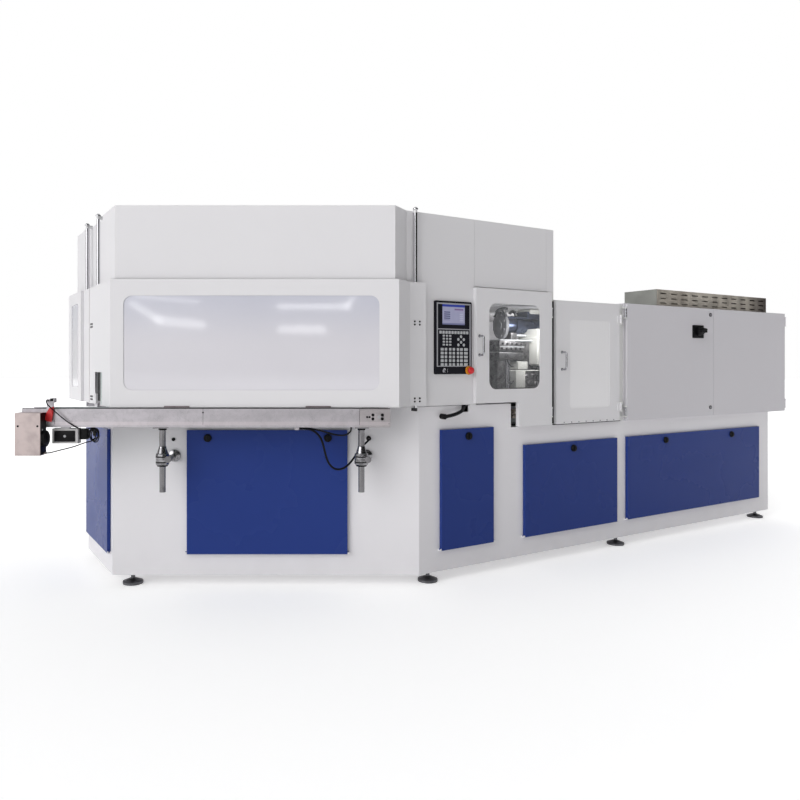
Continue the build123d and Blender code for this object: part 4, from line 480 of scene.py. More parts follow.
# Cords: the routes of the cables and the hose
def cord_curve(name, points, radius):
    """Smooth cord whose centreline has the route's points as its control points."""
    curve = bpy.data.curves.new(name, "CURVE")
    curve.dimensions = "3D"
    curve.bevel_depth = radius
    curve.bevel_resolution = 4
    curve.resolution_u = 6
    curve.use_fill_caps = True
    spline = curve.splines.new("NURBS")
    spline.points.add(len(points) - 1)
    for control, point in zip(spline.points, points):
        control.co = (*point, 1.0)
    spline.order_u = 3
    spline.use_endpoint_u = True
    curve.materials.append(FINISHES["cable_jacket"])
    made = add_object(name, curve)
    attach(made, "machine")
    return made


CABLE_RADIUS = 0.006
LINK_RADIUS = 0.005
SENSOR_CABLE_RADIUS = 0.003
HOSE_RADIUS = 0.011
DRIVE_ROUTE = [on_strip(*point) for point in (
    (0.247, 1.103, 0.944), (0.283, 1.103, 0.944), (0.318, 1.102, 0.937), (0.348, 1.1, 0.916),
    (0.37, 1.096, 0.884), (0.383, 1.091, 0.845), (0.392, 1.084, 0.801), (0.405, 1.075, 0.757),
    (0.428, 1.062, 0.722), (0.463, 1.045, 0.704), (0.505, 1.025, 0.714), (0.54, 1.01, 0.746),
    (0.568, 1.0, 0.786), (0.596, 0.994, 0.822), (0.617, 0.986, 0.844), (0.631, 0.977, 0.855),
    (0.641, 0.963, 0.863), (0.645, 0.945, 0.868), (0.645, 0.925, 0.868))]
LINK_ROUTE = [on_strip(*point) for point in (
    (0.247, 1.088, 0.944), (0.287, 1.088, 0.944), (0.334, 1.09, 0.939), (0.386, 1.095, 0.926),
    (0.436, 1.1, 0.911), (0.48, 1.103, 0.904), (0.511, 1.106, 0.909), (0.529, 1.109, 0.923),
    (0.536, 1.112, 0.938), (0.536, 1.112, 0.953))]
SENSOR_START = ((-1.139, 1.148, 1.102), (-1.139, 1.157, 1.102), (-1.136, 1.164, 1.093),
                (-1.126, 1.165, 1.077), (-1.106, 1.16, 1.056), (-1.08, 1.154, 1.031),
                (-1.05, 1.149, 1.003), (-1.015, 1.142, 0.974), (-0.978, 1.132, 0.95),
                (-0.948, 1.123, 0.94), (-0.924, 1.118, 0.943))
SENSOR_END = ((-0.911, 1.096, 0.872), (-0.934, 1.104, 0.869), (-0.96, 1.113, 0.86),
              (-0.997, 1.124, 0.846), (-1.04, 1.136, 0.835), (-1.08, 1.147, 0.826),
              (-1.108, 1.155, 0.818), (-1.125, 1.159, 0.815), (-1.139, 1.159, 0.815))
HOSE_ROUTE = ((0.536, -1.253, 0.99), (0.536, -1.272, 0.99), (0.549, -1.289, 0.993),
              (0.58, -1.297, 0.999), (0.622, -1.293, 1.008), (0.66, -1.281, 1.018),
              (0.689, -1.263, 1.029), (0.71, -1.245, 1.048), (0.72, -1.233, 1.072),
              (0.726, -1.227, 1.096), (0.734, -1.224, 1.113), (0.745, -1.223, 1.121),
              (0.758, -1.223, 1.121))
COIL_CENTRE = (-0.897, 0.9107)
COIL_HALF = (0.0225, 0.0345)
COIL_START = math.radians(75)
COIL_STEPS = 14
COIL_POINTS = 4 * COIL_STEPS + 7
COIL_FRONT = 1.117
COIL_PITCH = 0.0063


def coil_points():
    """Loose turns of the sensor cable, wound clockwise from the front to the back."""
    for step in range(COIL_POINTS):
        turn = step / COIL_STEPS
        angle = COIL_START - turn * 2 * math.pi
        swell = 1 + 0.11 * math.sin(2.3 * turn + 0.6)
        lean = 0.007 * math.sin(2.1 * turn)
        drop = 0.007 * math.sin(2.9 * turn + 1.1)
        yield (COIL_CENTRE[0] + lean + COIL_HALF[0] * swell * math.cos(angle),
               COIL_FRONT - COIL_PITCH * turn,
               COIL_CENTRE[1] + drop + COIL_HALF[1] * swell * math.sin(angle))


drive_cord = cord_curve("drive_cord", DRIVE_ROUTE, CABLE_RADIUS)
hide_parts("drive_cable")
link_cord = cord_curve("link_cord", LINK_ROUTE, LINK_RADIUS)
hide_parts("link_cable")
sensor_route = [on_strip(*point) for point in (*SENSOR_START, *coil_points(), *SENSOR_END)]
sensor_cord = cord_curve("sensor_cord", sensor_route, SENSOR_CABLE_RADIUS)
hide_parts("sensor_cable", "sensor_cable_coil")
hose = cord_curve("hose", HOSE_ROUTE, HOSE_RADIUS)
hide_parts("elbow_hose")


# Operator panel
PANEL_FACE = 1.273
KEY_RISE = 0.001
KEY_TOP = 0.0016
STOP_BUTTON = (0.725, 1.264)
KEY_LOCK = (0.531, 1.264)


def key_spots():
    """Centre and size of every key on the panel, as in the housing."""
    for column in range(10):
        yield 0.6077 + (column - 4.5) * 0.0229, 1.492, 0.017, 0.017
    for column in range(3):
        for row in range(4):
            yield 0.5538 + (column - 1) * 0.0247, 1.445 + (row - 1.5) * 0.0178, 0.016, 0.011
    for centre, width in ((0.517, 0.022), (0.5454, 0.018), (0.5782, 0.018), (0.606, 0.018),
                          (0.638, 0.017), (0.6652, 0.021), (0.7003, 0.028)):
        for row in range(5):
            yield centre, 1.3455 + (row - 2) * 0.0228, width, 0.016


def operator_panel():
    """Bezel lines, key caps, the stop button's collar and the key lock's ring."""
    foot, crown = PANEL_FACE + KEY_RISE, PANEL_FACE + KEY_RISE + KEY_TOP
    caps = bmesh.new()
    for x, z, width, height in key_spots():
        block(caps, (x - width / 2, x + width / 2), (z - height / 2, z + height / 2), (foot, crown),
              0.002, 0.0006, 2)
    for spot in ((0.6416, 1.451), (0.663, 1.468), (0.6845, 1.451), (0.663, 1.4345), (0.6416, 1.418),
                 (0.6845, 1.418)):
        turned(caps, [(0, crown), (0.0075, crown), (0.009, foot), (0.009, PANEL_FACE)], spot, 16)
    settle(caps, "panel_keys", OPERATOR, "grey_plastic", finish="key_cap")

    lines = bmesh.new()
    front = (PANEL_FACE - 0.001, PANEL_FACE + 0.0012)
    for span, rise in (((0.477, 0.4855), (1.287, 1.668)), ((0.7305, 0.739), (1.287, 1.668)),
                       ((0.4855, 0.7305), (1.6595, 1.668)), ((0.4855, 0.7305), (1.5085, 1.5145)),
                       ((0.4855, 0.7305), (1.287, 1.2925))):
        block(lines, span, rise, front, 0, 0.0006)
    settle(lines, "panel_bezel", OPERATOR, "grey_plastic", finish="bezel")

    fit("stop_collar", OPERATOR, "yellow_plastic",
        (turned, [(0.0165, PANEL_FACE + 0.0085), (0.022, PANEL_FACE + 0.0088),
                  (0.0255, PANEL_FACE + 0.006), (0.027, PANEL_FACE), (0.0245, PANEL_FACE - 0.0005)],
         STOP_BUTTON, 32))
    fit("stop_head", OPERATOR, "red_plastic",
        (turned, [(0, 1.3055), (0.008, 1.3052), (0.015, 1.3035), (0.0195, 1.3), (0.0218, 1.2945),
                  (0.022, 1.2905), (0.019, 1.2885), (0.009, 1.288), (0.008, 1.267)], STOP_BUTTON, 32),
        body="stop_button", replaced=["stop_button"])
    fit("key_lock_ring", OPERATOR, "plated_steel",
        (turned, [(0.0085, PANEL_FACE + 0.0065), (0.0125, PANEL_FACE + 0.0072),
                  (0.0155, PANEL_FACE + 0.005), (0.0165, PANEL_FACE)], KEY_LOCK, 28))
    fit("lock_key", OPERATOR, "plated_steel",
        (turned, [(0, 1.2822), (0.0068, 1.2822), (0.0078, 1.281), (0.0078, 1.266)], KEY_LOCK, 20),
        (block, (0.5296, 0.5324), (1.258, 1.27), (1.282, 1.292)),
        (block, (0.5294, 0.5326), (1.252, 1.276), (1.292, 1.307)),
        body="key_switch", replaced=["key_switch"])


# Screw groups on the guards' flanges, over their bearing blocks
FLANGES = (("front_guard_side_screws", OPERATOR, 0.32, 1.29, "front_guard"),
           ("front_guard_end_screws", END, 0.075, 1.252, "front_guard"),
           ("back_guard_end_screws", END, -0.274, 1.252, "back_guard"),
           ("back_guard_side_screws", FAR, -0.32, 1.29, "back_guard"))


def flange_screws():
    for name, place, centre, out, body in FLANGES:
        form = bmesh.new()
        spots = [(centre + across, row + up) for row in (1.0955, 1.5395)
                 for across in (-0.018, 0.018) for up in (-0.009, 0.009)]
        cap_screws(form, spots, out, 0.0055, 0.0045)
        settle(form, name, place, "black_plastic", body)


# Black latch knobs on the base doors
LATCHES = {"front_base_door": (STRIP, 0.916, 0.871, (-0.295, 0.406)),
           "end_base_door": (END, 1.212, 0.871, (0,)),
           "side_base_door_1": (OPERATOR, 1.267, 0.864, (0.727,)),
           "side_base_door_2": (OPERATOR, 1.267, 0.735, (1.653,)),
           "side_base_door_3": (OPERATOR, 1.267, 0.736, (2.648, 3.498))}


def latch_knobs():
    """Rubber rimmed knob with a wing over each quarter turn latch."""
    for body, (place, out, height, spots) in LATCHES.items():
        form = bmesh.new()
        for along in spots:
            turned(form, [(0, out + 0.0125), (0.0165, out + 0.0125), (0.018, out + 0.0145),
                          (0.0205, out + 0.014), (0.0225, out + 0.011), (0.0235, out)],
                   (along, height), 28)
            block(form, (along - 0.0048, along + 0.0048), (height - 0.0158, height + 0.0158),
                  (out + 0.012, out + 0.0185), 0.002, 0.0015)
        settle(form, f"{body}_latch", place, "black_plastic", body)


# Conveyor: bolts, bearing slot, drive end, switch box and sensor
def tail_end_plate():
    """Bolts and adjusting slot of the tail roller's bearing, on the rail's end plate."""
    face = 1.135
    bolts = bmesh.new()
    for along in (0.655, 0.707):
        for up in (1.0, 1.0215):
            turned(bolts, [(0, face + 0.003), (0.004, face + 0.003), (0.004, face + 0.006),
                           (0.0075, face + 0.006), (0.0085, face + 0.0045), (0.0085, face)],
                   (along, up), 14)
    for along in (0.6235, 0.6365):
        turned(bolts, [(0, face + 0.004), (0.005, face + 0.0035), (0.006, face)], (along, 1.0095), 14)
    settle(bolts, "tail_bolts", STRIP, "black_plastic")
    fit("tail_bearing_plate", STRIP, "stainless",
        (block, (0.645, 0.717), (0.991, 1.03), (face - 0.001, face + 0.0012), 0.004, 0.0006),
        (block, (0.7385, 0.7495), (0.967, 0.978), (face - 0.001, face + 0.001), 0.002, 0.0005))
    fit("tail_rivet", STRIP, "plated_steel",
        (turned, [(0, face + 0.0032), (0.0022, face + 0.0028), (0.003, face + 0.001)],
         (0.744, 0.9725), 12))
    fit("tail_stop_pad", STRIP, "black_plastic",
        (block, (0.594, 0.69), (1.0515, 1.0605), (1.1, 1.128), 0.003, 0.002),
        (block, (0.5808, 0.5822), (0.9675, 1.054), (face - 0.002, face + 0.0003)),
        (block, (0.685, 0.6866), (1.006, 1.014), (face, face + 0.0016)))


def rail_trim():
    """Black strip of painted shadow along the near rail's top edge, in the gap under the guard, a dark
    upright line and a screw head on the rail, and the guard's steel grips over it.
    """
    # painted shadow: the black strip stands for the shade in the gap between the rail's top edge and
    # the guard
    fit("rail_shadow_strip_and_joint", STRIP, "black_plastic",
        (block, (-1.283, 0.75), (1.0555, 1.0585), (1.117, 1.1305), 0, 0.0008),
        (block, (-0.2848, -0.2836), (0.966, 1.0555), (1.1295, 1.1307)),
        (turned, [(0, 1.1318), (0.004, 1.1316), (0.0048, 1.1298)], (-0.284, 1.0349), 12))
    grips = bmesh.new()
    for middle in (-0.432, 0.353):
        block(grips, (middle - 0.07, middle + 0.07), (1.0615, 1.0657), (1.1148, 1.1305), 0, 0.001)
        block(grips, (middle - 0.07, middle + 0.07), (1.0625, 1.07), (1.1148, 1.117), 0, 0.0005)
    settle(grips, "guard_grips", STRIP, "stainless", "front_guard", finish="grip_steel")


POSTS = (-0.527, 0.596)
POST_OUT = 1.047
ARMS = (-0.491, 0.632)
ARM_HEIGHT = 0.767


def post_trim():
    """Rings, ridged cross clamps and bolts on the conveyor's posts and arms."""
    dark = bmesh.new()
    bright = bmesh.new()
    for along in POSTS:
        axis = on_strip(along, POST_OUT, 0)[:2]
        turned(dark, [(0.0185, 0.944), (0.0225, 0.943), (0.0225, 0.931), (0.0185, 0.93)], axis, 28)
        turned(dark, [(0.0185, 0.725), (0.029, 0.7262), (0.031, 0.729), (0.031, 0.735)], axis, 28)
        turned(bright, [(0.034, 0.7345), (0.0375, 0.7375), (0.0388, 0.742), (0.0388, 0.764),
                        (0.0372, 0.7655), (0.0372, 0.7675), (0.0388, 0.769), (0.0388, 0.7925),
                        (0.0375, 0.7965), (0.034, 0.7995)], axis, 10)
        turned(bright, [(0.0178, 0.84), (0.0205, 0.838), (0.023, 0.826), (0.0285, 0.809),
                        (0.03, 0.8), (0.029, 0.798)], axis, 28)
        for height in (0.7505, 0.781):
            turned(dark, [(0.0381, height - 0.004), (0.0394, height - 0.003), (0.0394, height + 0.003),
                          (0.0381, height + 0.004)], axis, 10)
    settle(dark, "post_rings", FLOOR, "black_plastic")
    settle(bright, "post_clamps", FLOOR, "plated_steel", finish="clamp_steel")

    flanges = bmesh.new()
    for along in ARMS:
        turned(flanges, [(0.0145, 0.916), (0.024, 0.914), (0.0345, 0.909), (0.0355, 0.9055),
                         (0.0355, 0.8945)], (along, ARM_HEIGHT), 32)
        cap_screws(flanges, round_spots((along, ARM_HEIGHT), 0.0255, 3, 90), 0.9105, 0.0045, 0.005)
    settle(flanges, "arm_flanges", STRIP, "plated_steel", finish="clamp_steel")
    fit("wall_bolts", STRIP, "black_plastic", (cap_screws, [(-0.4985, 0.8614)], 0.894, 0.0105, 0.008))


MOTOR_AXIS = (0.895, 1.168)


def drive_end():
    """Cover screws, dark side plate and gear motor of the conveyor's drive."""
    fit("drive_screws", STRIP, "black_plastic",
        (cap_screws, ((-1.272, 0.966), (-1.166, 0.966)), 1.21, 0.0055, 0.003))
    fit("drive_side_plate", STRIP, "black_plastic",
        (block, (-1.1515, -1.1495), (0.808, 1.035), (1.132, 1.2075)))
    motor = bmesh.new()
    turned(motor, [(0, -1.1235), (0.02, -1.1235), (0.034, -1.1265), (0.041, -1.133),
                   (0.041, -1.15)], MOTOR_AXIS, 36, ACROSS)
    for ridge in range(3):
        start = -1.148 + ridge * 0.006
        turned(motor, [(0.041, start), (0.044, start), (0.044, start + 0.003), (0.041, start + 0.003)],
               MOTOR_AXIS, 36, ACROSS)
    settle(motor, "drive_motor", STRIP, "black_plastic")
    fit("drive_pin", STRIP, "grey_plastic",
        (turned, [(0, -1.1465), (0.004, -1.147), (0.005, -1.1495)], (0.945, 1.185), 14, ACROSS),
        finish="key_cap")


def switch_box():
    """Black front plate, selector dot and plugs of the conveyor's switch box."""
    face = 1.125
    plate = bmesh.new()
    block(plate, (-1.108, -0.992), (0.873, 0.934), (face - 0.001, face + 0.0025), 0.003, 0.001)
    cap_screws(plate, ((-1.101, 0.9035), (-0.999, 0.9035)), face + 0.002, 0.004, 0.002)
    block(plate, (-0.9765, -0.932), (0.883, 0.943), (1.0765, 1.1065), 0.004, 0.002)
    for up in (0.899, 0.925):
        turned(plate, [(0, -0.9255), (0.0085, -0.9255), (0.0105, -0.928), (0.0105, -0.937)],
               (up, 1.092), 20, ACROSS)
    settle(plate, "switch_plate", STRIP, "black_plastic")
    fit("switch_button", STRIP, "grey_plastic",
        (turned, [(0, face + 0.0065), (0.005, face + 0.0062), (0.0072, face + 0.004),
                  (0.0075, face + 0.002)], (-1.049, 0.9035), 20),
        finish="key_cap")


def sensor_parts():
    """Black eye on the sensor's bracket and the red flag that hangs from it."""
    fit("sensor_eye", STRIP, "black_plastic",
        (block, (-1.1275, -1.1075), (1.0965, 1.113), (1.094, 1.1365), 0.003, 0.002),
        (turned, [(0, 1.1475), (0.004, 1.1475), (0.006, 1.146), (0.0062, 1.136)], (-1.139, 1.102), 18))
    flag = bmesh.new()
    corners = ((-1.104, 1.067, 1.139), (-1.128, 1.064, 1.1385), (-1.146, 1.033, 1.141),
               (-1.155, 0.996, 1.146), (-1.134, 0.987, 1.15), (-1.113, 0.984, 1.149),
               (-1.108, 1.02, 1.144))
    flag.faces.new([flag.verts.new(corner) for corner in corners])
    bmesh.ops.solidify(flag, geom=flag.faces[:], thickness=0.0012)
    settle(flag, "sensor_flag", STRIP, "red_plastic")


def guard_trim():
    """Seal between the two guards, and the lining and curtain of the bottle slot."""
    fit("guard_seal", END, "red_plastic",
        (block, (0.0015, 0.0048), (1.064, 1.774), (1.244, 1.2518)),
        body="front_guard", finish="seal_red")
    fit("slot_lining", END, "stainless",
        (block, (0.28, 0.357), (1.064, 1.253), (1.2405, 1.2425)),
        (block, (0.276, 0.28), (1.064, 1.253), (1.22, 1.2425)),
        body="front_guard", finish="lining")
    fit("slot_curtain", END, "black_plastic",
        (block, (0.168, 0.272), (1.082, 1.253), (1.236, 1.2395), 0.004),
        body="front_guard")


def door_hardware():
    """Roses under the doors' handles, the nozzle door's screws and the cabinet's locks."""
    for body, x, heights, face in (("clamp_door", 0.795, (1.358, 1.474), 1.29),
                                   ("nozzle_door", 1.541, (1.267, 1.382), 1.268)):
        form = bmesh.new()
        for height in heights:
            turned(form, [(0.0062, face + 0.004), (0.009, face + 0.0038), (0.0105, face)],
                   (x, height), 20)
        settle(form, f"{body}_roses", OPERATOR, "plated_steel", body)
    fit("nozzle_door_screws", OPERATOR, "plated_steel",
        (cap_screws, [(1.5615 + 0.0715 * step, 0.9115) for step in range(8)], 1.268, 0.0045, 0.004),
        body="nozzle_door")
    locks = bmesh.new()
    for height in (0.964, 1.688):
        turned(locks, [(0, 1.2835), (0.005, 1.2835), (0.005, 1.2868), (0.0135, 1.2868),
                       (0.0145, 1.2855), (0.0148, 1.28)], (3.19, height), 24)
    settle(locks, "cabinet_locks", OPERATOR, "machined_steel", "cabinet_left_door", finish="dark_steel")


CABINET_HINGE = (2.183, -1.276)


def cabinet_hinges():
    """Three knuckles and two end pins on each hinge of the left cabinet door."""
    sleeves = bmesh.new()
    pins = bmesh.new()
    for middle in (0.965, 1.667):
        for low, high in ((-0.032, -0.0115), (-0.0105, 0.0105), (0.0115, 0.032)):
            turned(sleeves, [(0.0045, middle + low), (0.0068, middle + low + 0.0006),
                             (0.0068, middle + high - 0.0006), (0.0045, middle + high)],
                   CABINET_HINGE, 20)
        for end, side in ((-0.034, -1), (0.034, 1)):
            turned(pins, [(0, middle + end + 0.001 * side), (0.0045, middle + end),
                          (0.005, middle + end - 0.002 * side)], CABINET_HINGE, 16)
    settle(sleeves, "cabinet_hinge_sleeves", FLOOR, "plated_steel")
    settle(pins, "cabinet_hinge_pins", FLOOR, "black_plastic")


def nozzle_door_shade_strips():
    """Black strips of painted shade behind the nozzle door's upright edges, where the gaps beside it
    are in shade, and a painted shadow line under it.
    """
    # painted shade: dark strips that make the gaps at the door's upright edges read dark
    lip = bmesh.new()
    for span in ((1.472, 1.515), (2.1, 2.139)):
        block(lip, span, (0.907, 1.721), (1.237, 1.2462), 0, 0.001)
    settle(lip, "nozzle_door_gap_shade", OPERATOR, "black_plastic", "nozzle_door")
    # painted shadow: a black strip for the shade line between the door's foot and the base
    fit("nozzle_door_shadow_strip", OPERATOR, "black_plastic",
        (block, (1.475, 2.139), (0.898, 0.9022), (1.238, 1.265)))


def operator_side_trim():
    """Wedge shaped grip of the main switch and the hose's elbow fitting on the base wall."""
    grip = bmesh.new()
    middle_x, middle_z, foot, crown = 3.027, 1.5525, 1.2985, 1.3145
    outline = [(-0.03, -0.024), (-0.006, -0.03), (0.026, -0.02), (0.074, 0.01), (0.078, 0.018),
               (0.066, 0.026), (0.02, 0.03), (-0.024, 0.024)]
    face = grip.faces.new([grip.verts.new((middle_x + x, middle_z + z, foot)) for x, z in outline])
    raised = bmesh.ops.extrude_face_region(grip, geom=[face])["geom"]
    tops = [item for item in raised if isinstance(item, bmesh.types.BMVert)]
    bmesh.ops.translate(grip, vec=(0, 0, crown - foot), verts=tops)
    rims = [edge for edge in grip.edges if all(vert in tops for vert in edge.verts)]
    bmesh.ops.bevel(grip, geom=rims, offset=0.003, segments=2, affect="EDGES", profile=0.5, material=-1)
    settle(grip, "switch_pointer", OPERATOR, "black_plastic", "main_switch")
    fit("hose_coupling", OPERATOR, "black_plastic",
        (turned, [(0, 1.2885), (0.0065, 1.2885), (0.0075, 1.287), (0.0095, 1.287), (0.013, 1.285),
                  (0.0165, 1.28), (0.0165, 1.245)], (0.535, 0.99), 28))


# What shows through the clear window: the injection unit's cylinder, hoses and valve stand
def pipe(form, centre, radius, bend, start, sweep):
    """Round pipe bent along part of a circle that faces out of the wall."""
    along, up, out = centre
    ring = bmesh.ops.create_circle(form, segments=12, radius=radius)["verts"]
    turn = Matrix.Rotation(math.radians(start), 4, "Z")
    place = Matrix.Translation((along, up, out)) @ turn @ Matrix.Translation((bend, 0, 0))
    bmesh.ops.transform(form, matrix=place @ Matrix.Rotation(math.radians(90), 4, "X"), verts=ring)
    edges = list({edge for vert in ring for edge in vert.link_edges})
    bmesh.ops.spin(form, geom=ring + edges, cent=(along, up, out), axis=(0, 0, 1),
                   angle=math.radians(sweep), steps=14)


CYLINDER = (1.595, 0.6)
BED_TOP = 0.8985


def injection_cylinder():
    """Cylinder with its bolted flange and rods, in the bay behind the clamp door."""
    disc = bmesh.new()
    turned(disc, [(0, 1.612), (0.03, 1.612), (0.034, 1.618), (0.085, 1.618), (0.096, 1.622),
                  (0.098, 1.628), (0.098, 1.648), (0.07, 1.65), (0.07, 1.66)],
           CYLINDER, 40, ACROSS)
    for spot in round_spots(CYLINDER, 0.078, 8, 22.5):
        turned(disc, [(0, 1.609), (0.006, 1.609), (0.007, 1.611), (0.007, 1.619)], spot, 10, ACROSS)
    bmesh.ops.scale(disc, vec=(1, 1.08, 0.76), space=Matrix.Translation((0, -1.595, -0.6)),
                    verts=disc.verts)
    settle(disc, "cylinder_flange", OPERATOR, "unit_paint", finish="casting")

    barrel = bmesh.new()
    turned(barrel, [(0.058, 1.655), (0.062, 1.662), (0.062, 1.735), (0.074, 1.738), (0.074, 1.778),
                    (0.062, 1.781), (0.062, 2.06), (0.074, 2.063), (0.074, 2.095), (0, 2.095)],
           CYLINDER, 40, ACROSS)
    block(barrel, (1.843, 2.03), (1.65, 1.704), (0.54, 0.67), 0.006, 0.004)
    for spot in ((1.538, 0.54), (1.652, 0.54), (1.652, 0.66)):
        turned(barrel, [(0, 1.65), (0.008, 1.65), (0.008, 2.07), (0, 2.07)], spot, 12, ACROSS)
    settle(barrel, "injection_cylinder", OPERATOR, "machined_steel", finish="blue_steel")


def valve_stand():
    """Valve block on its stand under the cylinder, with a bright plate and three pipes."""
    fit("stand_plate", OPERATOR, "grey_plastic",
        (turned, [(0, 1.722), (0.008, 1.722), (0.009, 1.726), (0.009, 1.888), (0, 1.888)],
         (1.522, 0.63), 20, ACROSS),
        (block, (1.514, 1.85), (1.474, 1.484), (0.52, 0.72), 0.002, 0.001),
        (block, (1.518, 1.762), (1.428, 1.433), (0.53, 0.7125)),
        finish="key_cap")

    stand = bmesh.new()
    for span, rise, reach in (((1.514, 1.764), (1.395, 1.474), (0.53, 0.71)),
                              ((1.768, 1.829), (1.333, 1.474), (0.53, 0.7)),
                              ((1.76, 2.05), (1.13, 1.245), (0.56, 0.69)),
                              ((1.514, 1.764), (1.333, 1.39), (0.53, 0.71)),
                              ((1.705, 1.855), (1.257, 1.334), (0.55, 0.69)),
                              ((1.52, 2.06), (BED_TOP, 1.125), (0.54, 0.7)),
                              ((1.514, 1.59), (1.125, 1.334), (0.55, 0.69)),
                              ((1.68, 1.74), (1.484, 1.54), (0.57, 0.66))):
        block(stand, span, rise, reach, 0.004, 0.003)
    for column in range(5):
        low = 1.535 + 0.046 * column
        block(stand, (low, low + 0.03), (1.405, 1.424), (0.708, 0.722), 0.003, 0.002)
        turned(stand, [(0, 0.724), (0.007, 0.724), (0.009, 0.721), (0.009, 0.708)],
               (low + 0.015, 1.455), 14)
    cap_screws(stand, ((1.788, 1.45), (1.788, 1.357), (1.815, 1.405)), 0.7, 0.007, 0.006)
    for along, up, radius in ((1.8, 1.205, 0.024), (1.868, 1.215, 0.02), (1.93, 1.2, 0.026),
                              (1.835, 1.16, 0.018), (1.895, 1.155, 0.022)):
        turned(stand, [(0, 0.722), (radius * 0.5, 0.722), (radius * 0.55, 0.712), (radius * 0.8, 0.712),
                       (radius, 0.706), (radius, 0.688)], (along, up), 18)
    settle(stand, "valve_stand", OPERATOR, "machined_steel", finish="valve_steel")

    pipes = bmesh.new()
    low, high = 1.124, 1.335
    for x, y, radius in ((1.599, -0.69, 0.0075), (1.632, -0.67, 0.02), (1.66, -0.64, 0.01)):
        turned(pipes, [(0, low), (radius, low), (radius, high), (0, high)], (x, y), 20)
        turned(pipes, [(radius, low + 0.03), (radius * 1.4, low + 0.032), (radius * 1.4, low + 0.05),
                       (radius, low + 0.052)], (x, y), 20)
    settle(pipes, "stand_pipes", FLOOR, "plated_steel")


def housing_and_hoses():
    """Pale housing behind the valves, with the gear motor and the black hoses."""
    fit("unit_housing", OPERATOR, "unit_paint",
        (block, (1.858, 2.1), (1.288, 1.57), (0.56, 0.76), 0.006, 0.005),
        (block, (1.838, 1.862), (1.3, 1.505), (0.6, 0.772), 0.003, 0.003),
        (block, (1.655, 1.752), (1.125, 1.257), (0.56, 0.735), 0.005, 0.004),
        (block, (1.7, 1.8), (1.262, 1.322), (0.6, 0.712), 0.005, 0.004),
        (block, (1.858, 2.06), (1.686, 1.721), (0.55, 0.68), 0.012, 0.006),
        (cap_screws, ((1.935, 1.545), (1.985, 1.53), (1.978, 1.352), (1.905, 1.352), (1.905, 1.44)),
         0.76, 0.008, 0.006))

    dark = bmesh.new()
    turned(dark, [(0, 1.862), (0.045, 1.862), (0.058, 1.87), (0.06, 1.88), (0.06, 2.055),
                  (0, 2.055)], (1.19, 0.62), 36, ACROSS)
    block(dark, (1.858, 2.09), (1.258, 1.288), (0.55, 0.77), 0.003, 0.003)
    for bend in (((1.573, 1.661, 0.66), 0.009, 0.05, -5, 180),
                 ((1.6, 1.6, 0.68), 0.009, 0.118, 80, 75),
                 ((1.735, 1.668, 0.62), 0.012, 0.034, -20, 170),
                 ((1.6, 1.262, 0.71), 0.006, 0.104, 0, -80),
                 ((1.64, 1.335, 0.72), 0.004, 0.052, 180, 95)):
        pipe(dark, *bend)
    settle(dark, "gear_motor_and_hoses", OPERATOR, "black_plastic", finish="gloss_black")


def service_unit():
    """Air service unit on the tail bed, which shows in the notch beside the clamp door's foot."""
    fit("air_bracket", OPERATOR, "black_plastic",
        (block, (1.165, 1.345), (1.024, 1.043), (1.075, 1.13), 0.002, 0.002),
        (block, (1.33, 1.345), (BED_TOP, 1.043), (1.085, 1.12), 0.002, 0.002),
        (block, (1.19, 1.33), (BED_TOP, 0.905), (1.05, 1.15), 0.003, 0.001))
    fit("air_block", OPERATOR, "machined_steel",
        (block, (1.222, 1.302), (0.945, 0.986), (1.064, 1.138), 0.004, 0.003),
        (block, (1.206, 1.318), (0.955, 0.972), (1.085, 1.115), 0.004, 0.003),
        (block, (1.236, 1.288), (0.988, 1.003), (1.07, 1.13), 0.004, 0.003),
        finish="brass")
    fit("air_bowl", FLOOR, "grey_plastic",
        (turned, [(0, 0.905), (0.01, 0.905), (0.012, 0.911), (0.026, 0.915), (0.03, 0.922),
                  (0.03, 0.94), (0.033, 0.941), (0.033, 0.946), (0, 0.946)], (1.262, -1.101), 32),
        (turned, [(0.012, 1.003), (0.012, 1.01), (0.019, 1.011), (0.019, 1.024), (0, 1.024)],
         (1.262, -1.1), 24),
        finish="key_cap")


for dress in (operator_panel, flange_screws, latch_knobs, tail_end_plate, rail_trim, post_trim,
              drive_end, switch_box, sensor_parts, guard_trim, door_hardware, cabinet_hinges,
              nozzle_door_shade_strips, operator_side_trim, injection_cylinder, valve_stand,
              housing_and_hoses, service_unit):
    dress()


# Stage, light and camera
def toward(azimuth, height):
    """Direction by its azimuth and height, in degrees."""
    turn, lift = math.radians(azimuth), math.radians(height)
    return Vector((math.cos(turn) * math.cos(lift), math.sin(turn) * math.cos(lift), math.sin(lift)))


def studio_floor():
    """Pale floor that brightens far from the machine, where the backdrop meets it."""
    form = bmesh.new()
    bmesh.ops.create_grid(form, x_segments=1, y_segments=1, size=60)
    mesh = bpy.data.meshes.new("studio_floor")
    form.to_mesh(mesh)
    form.free()
    pale = Finish("studio_floor")
    reach = pale.node("ShaderNodeVectorMath", {"operation": "LENGTH"}, {"Vector": pale.place}, "Value")
    glow = pale.ramp(reach, 2.0, 9.0, 0.17, 0.46)
    seen = pale.node("ShaderNodeLightPath", {}, {}, "Is Camera Ray")
    lit = pale.blend(glow + seen * 0.16, (0, 0, 0), (1, 1, 1))
    mesh.materials.append(pale.surface(Base_Color=(0.92, 0.92, 0.92, 1), Roughness=0.9,
                                       Emission_Color=lit, Emission_Strength=1.0))
    add_object("studio_floor", mesh)


KEY_LIGHT = toward(-167, 20)
BACKDROP = toward(60, 0)


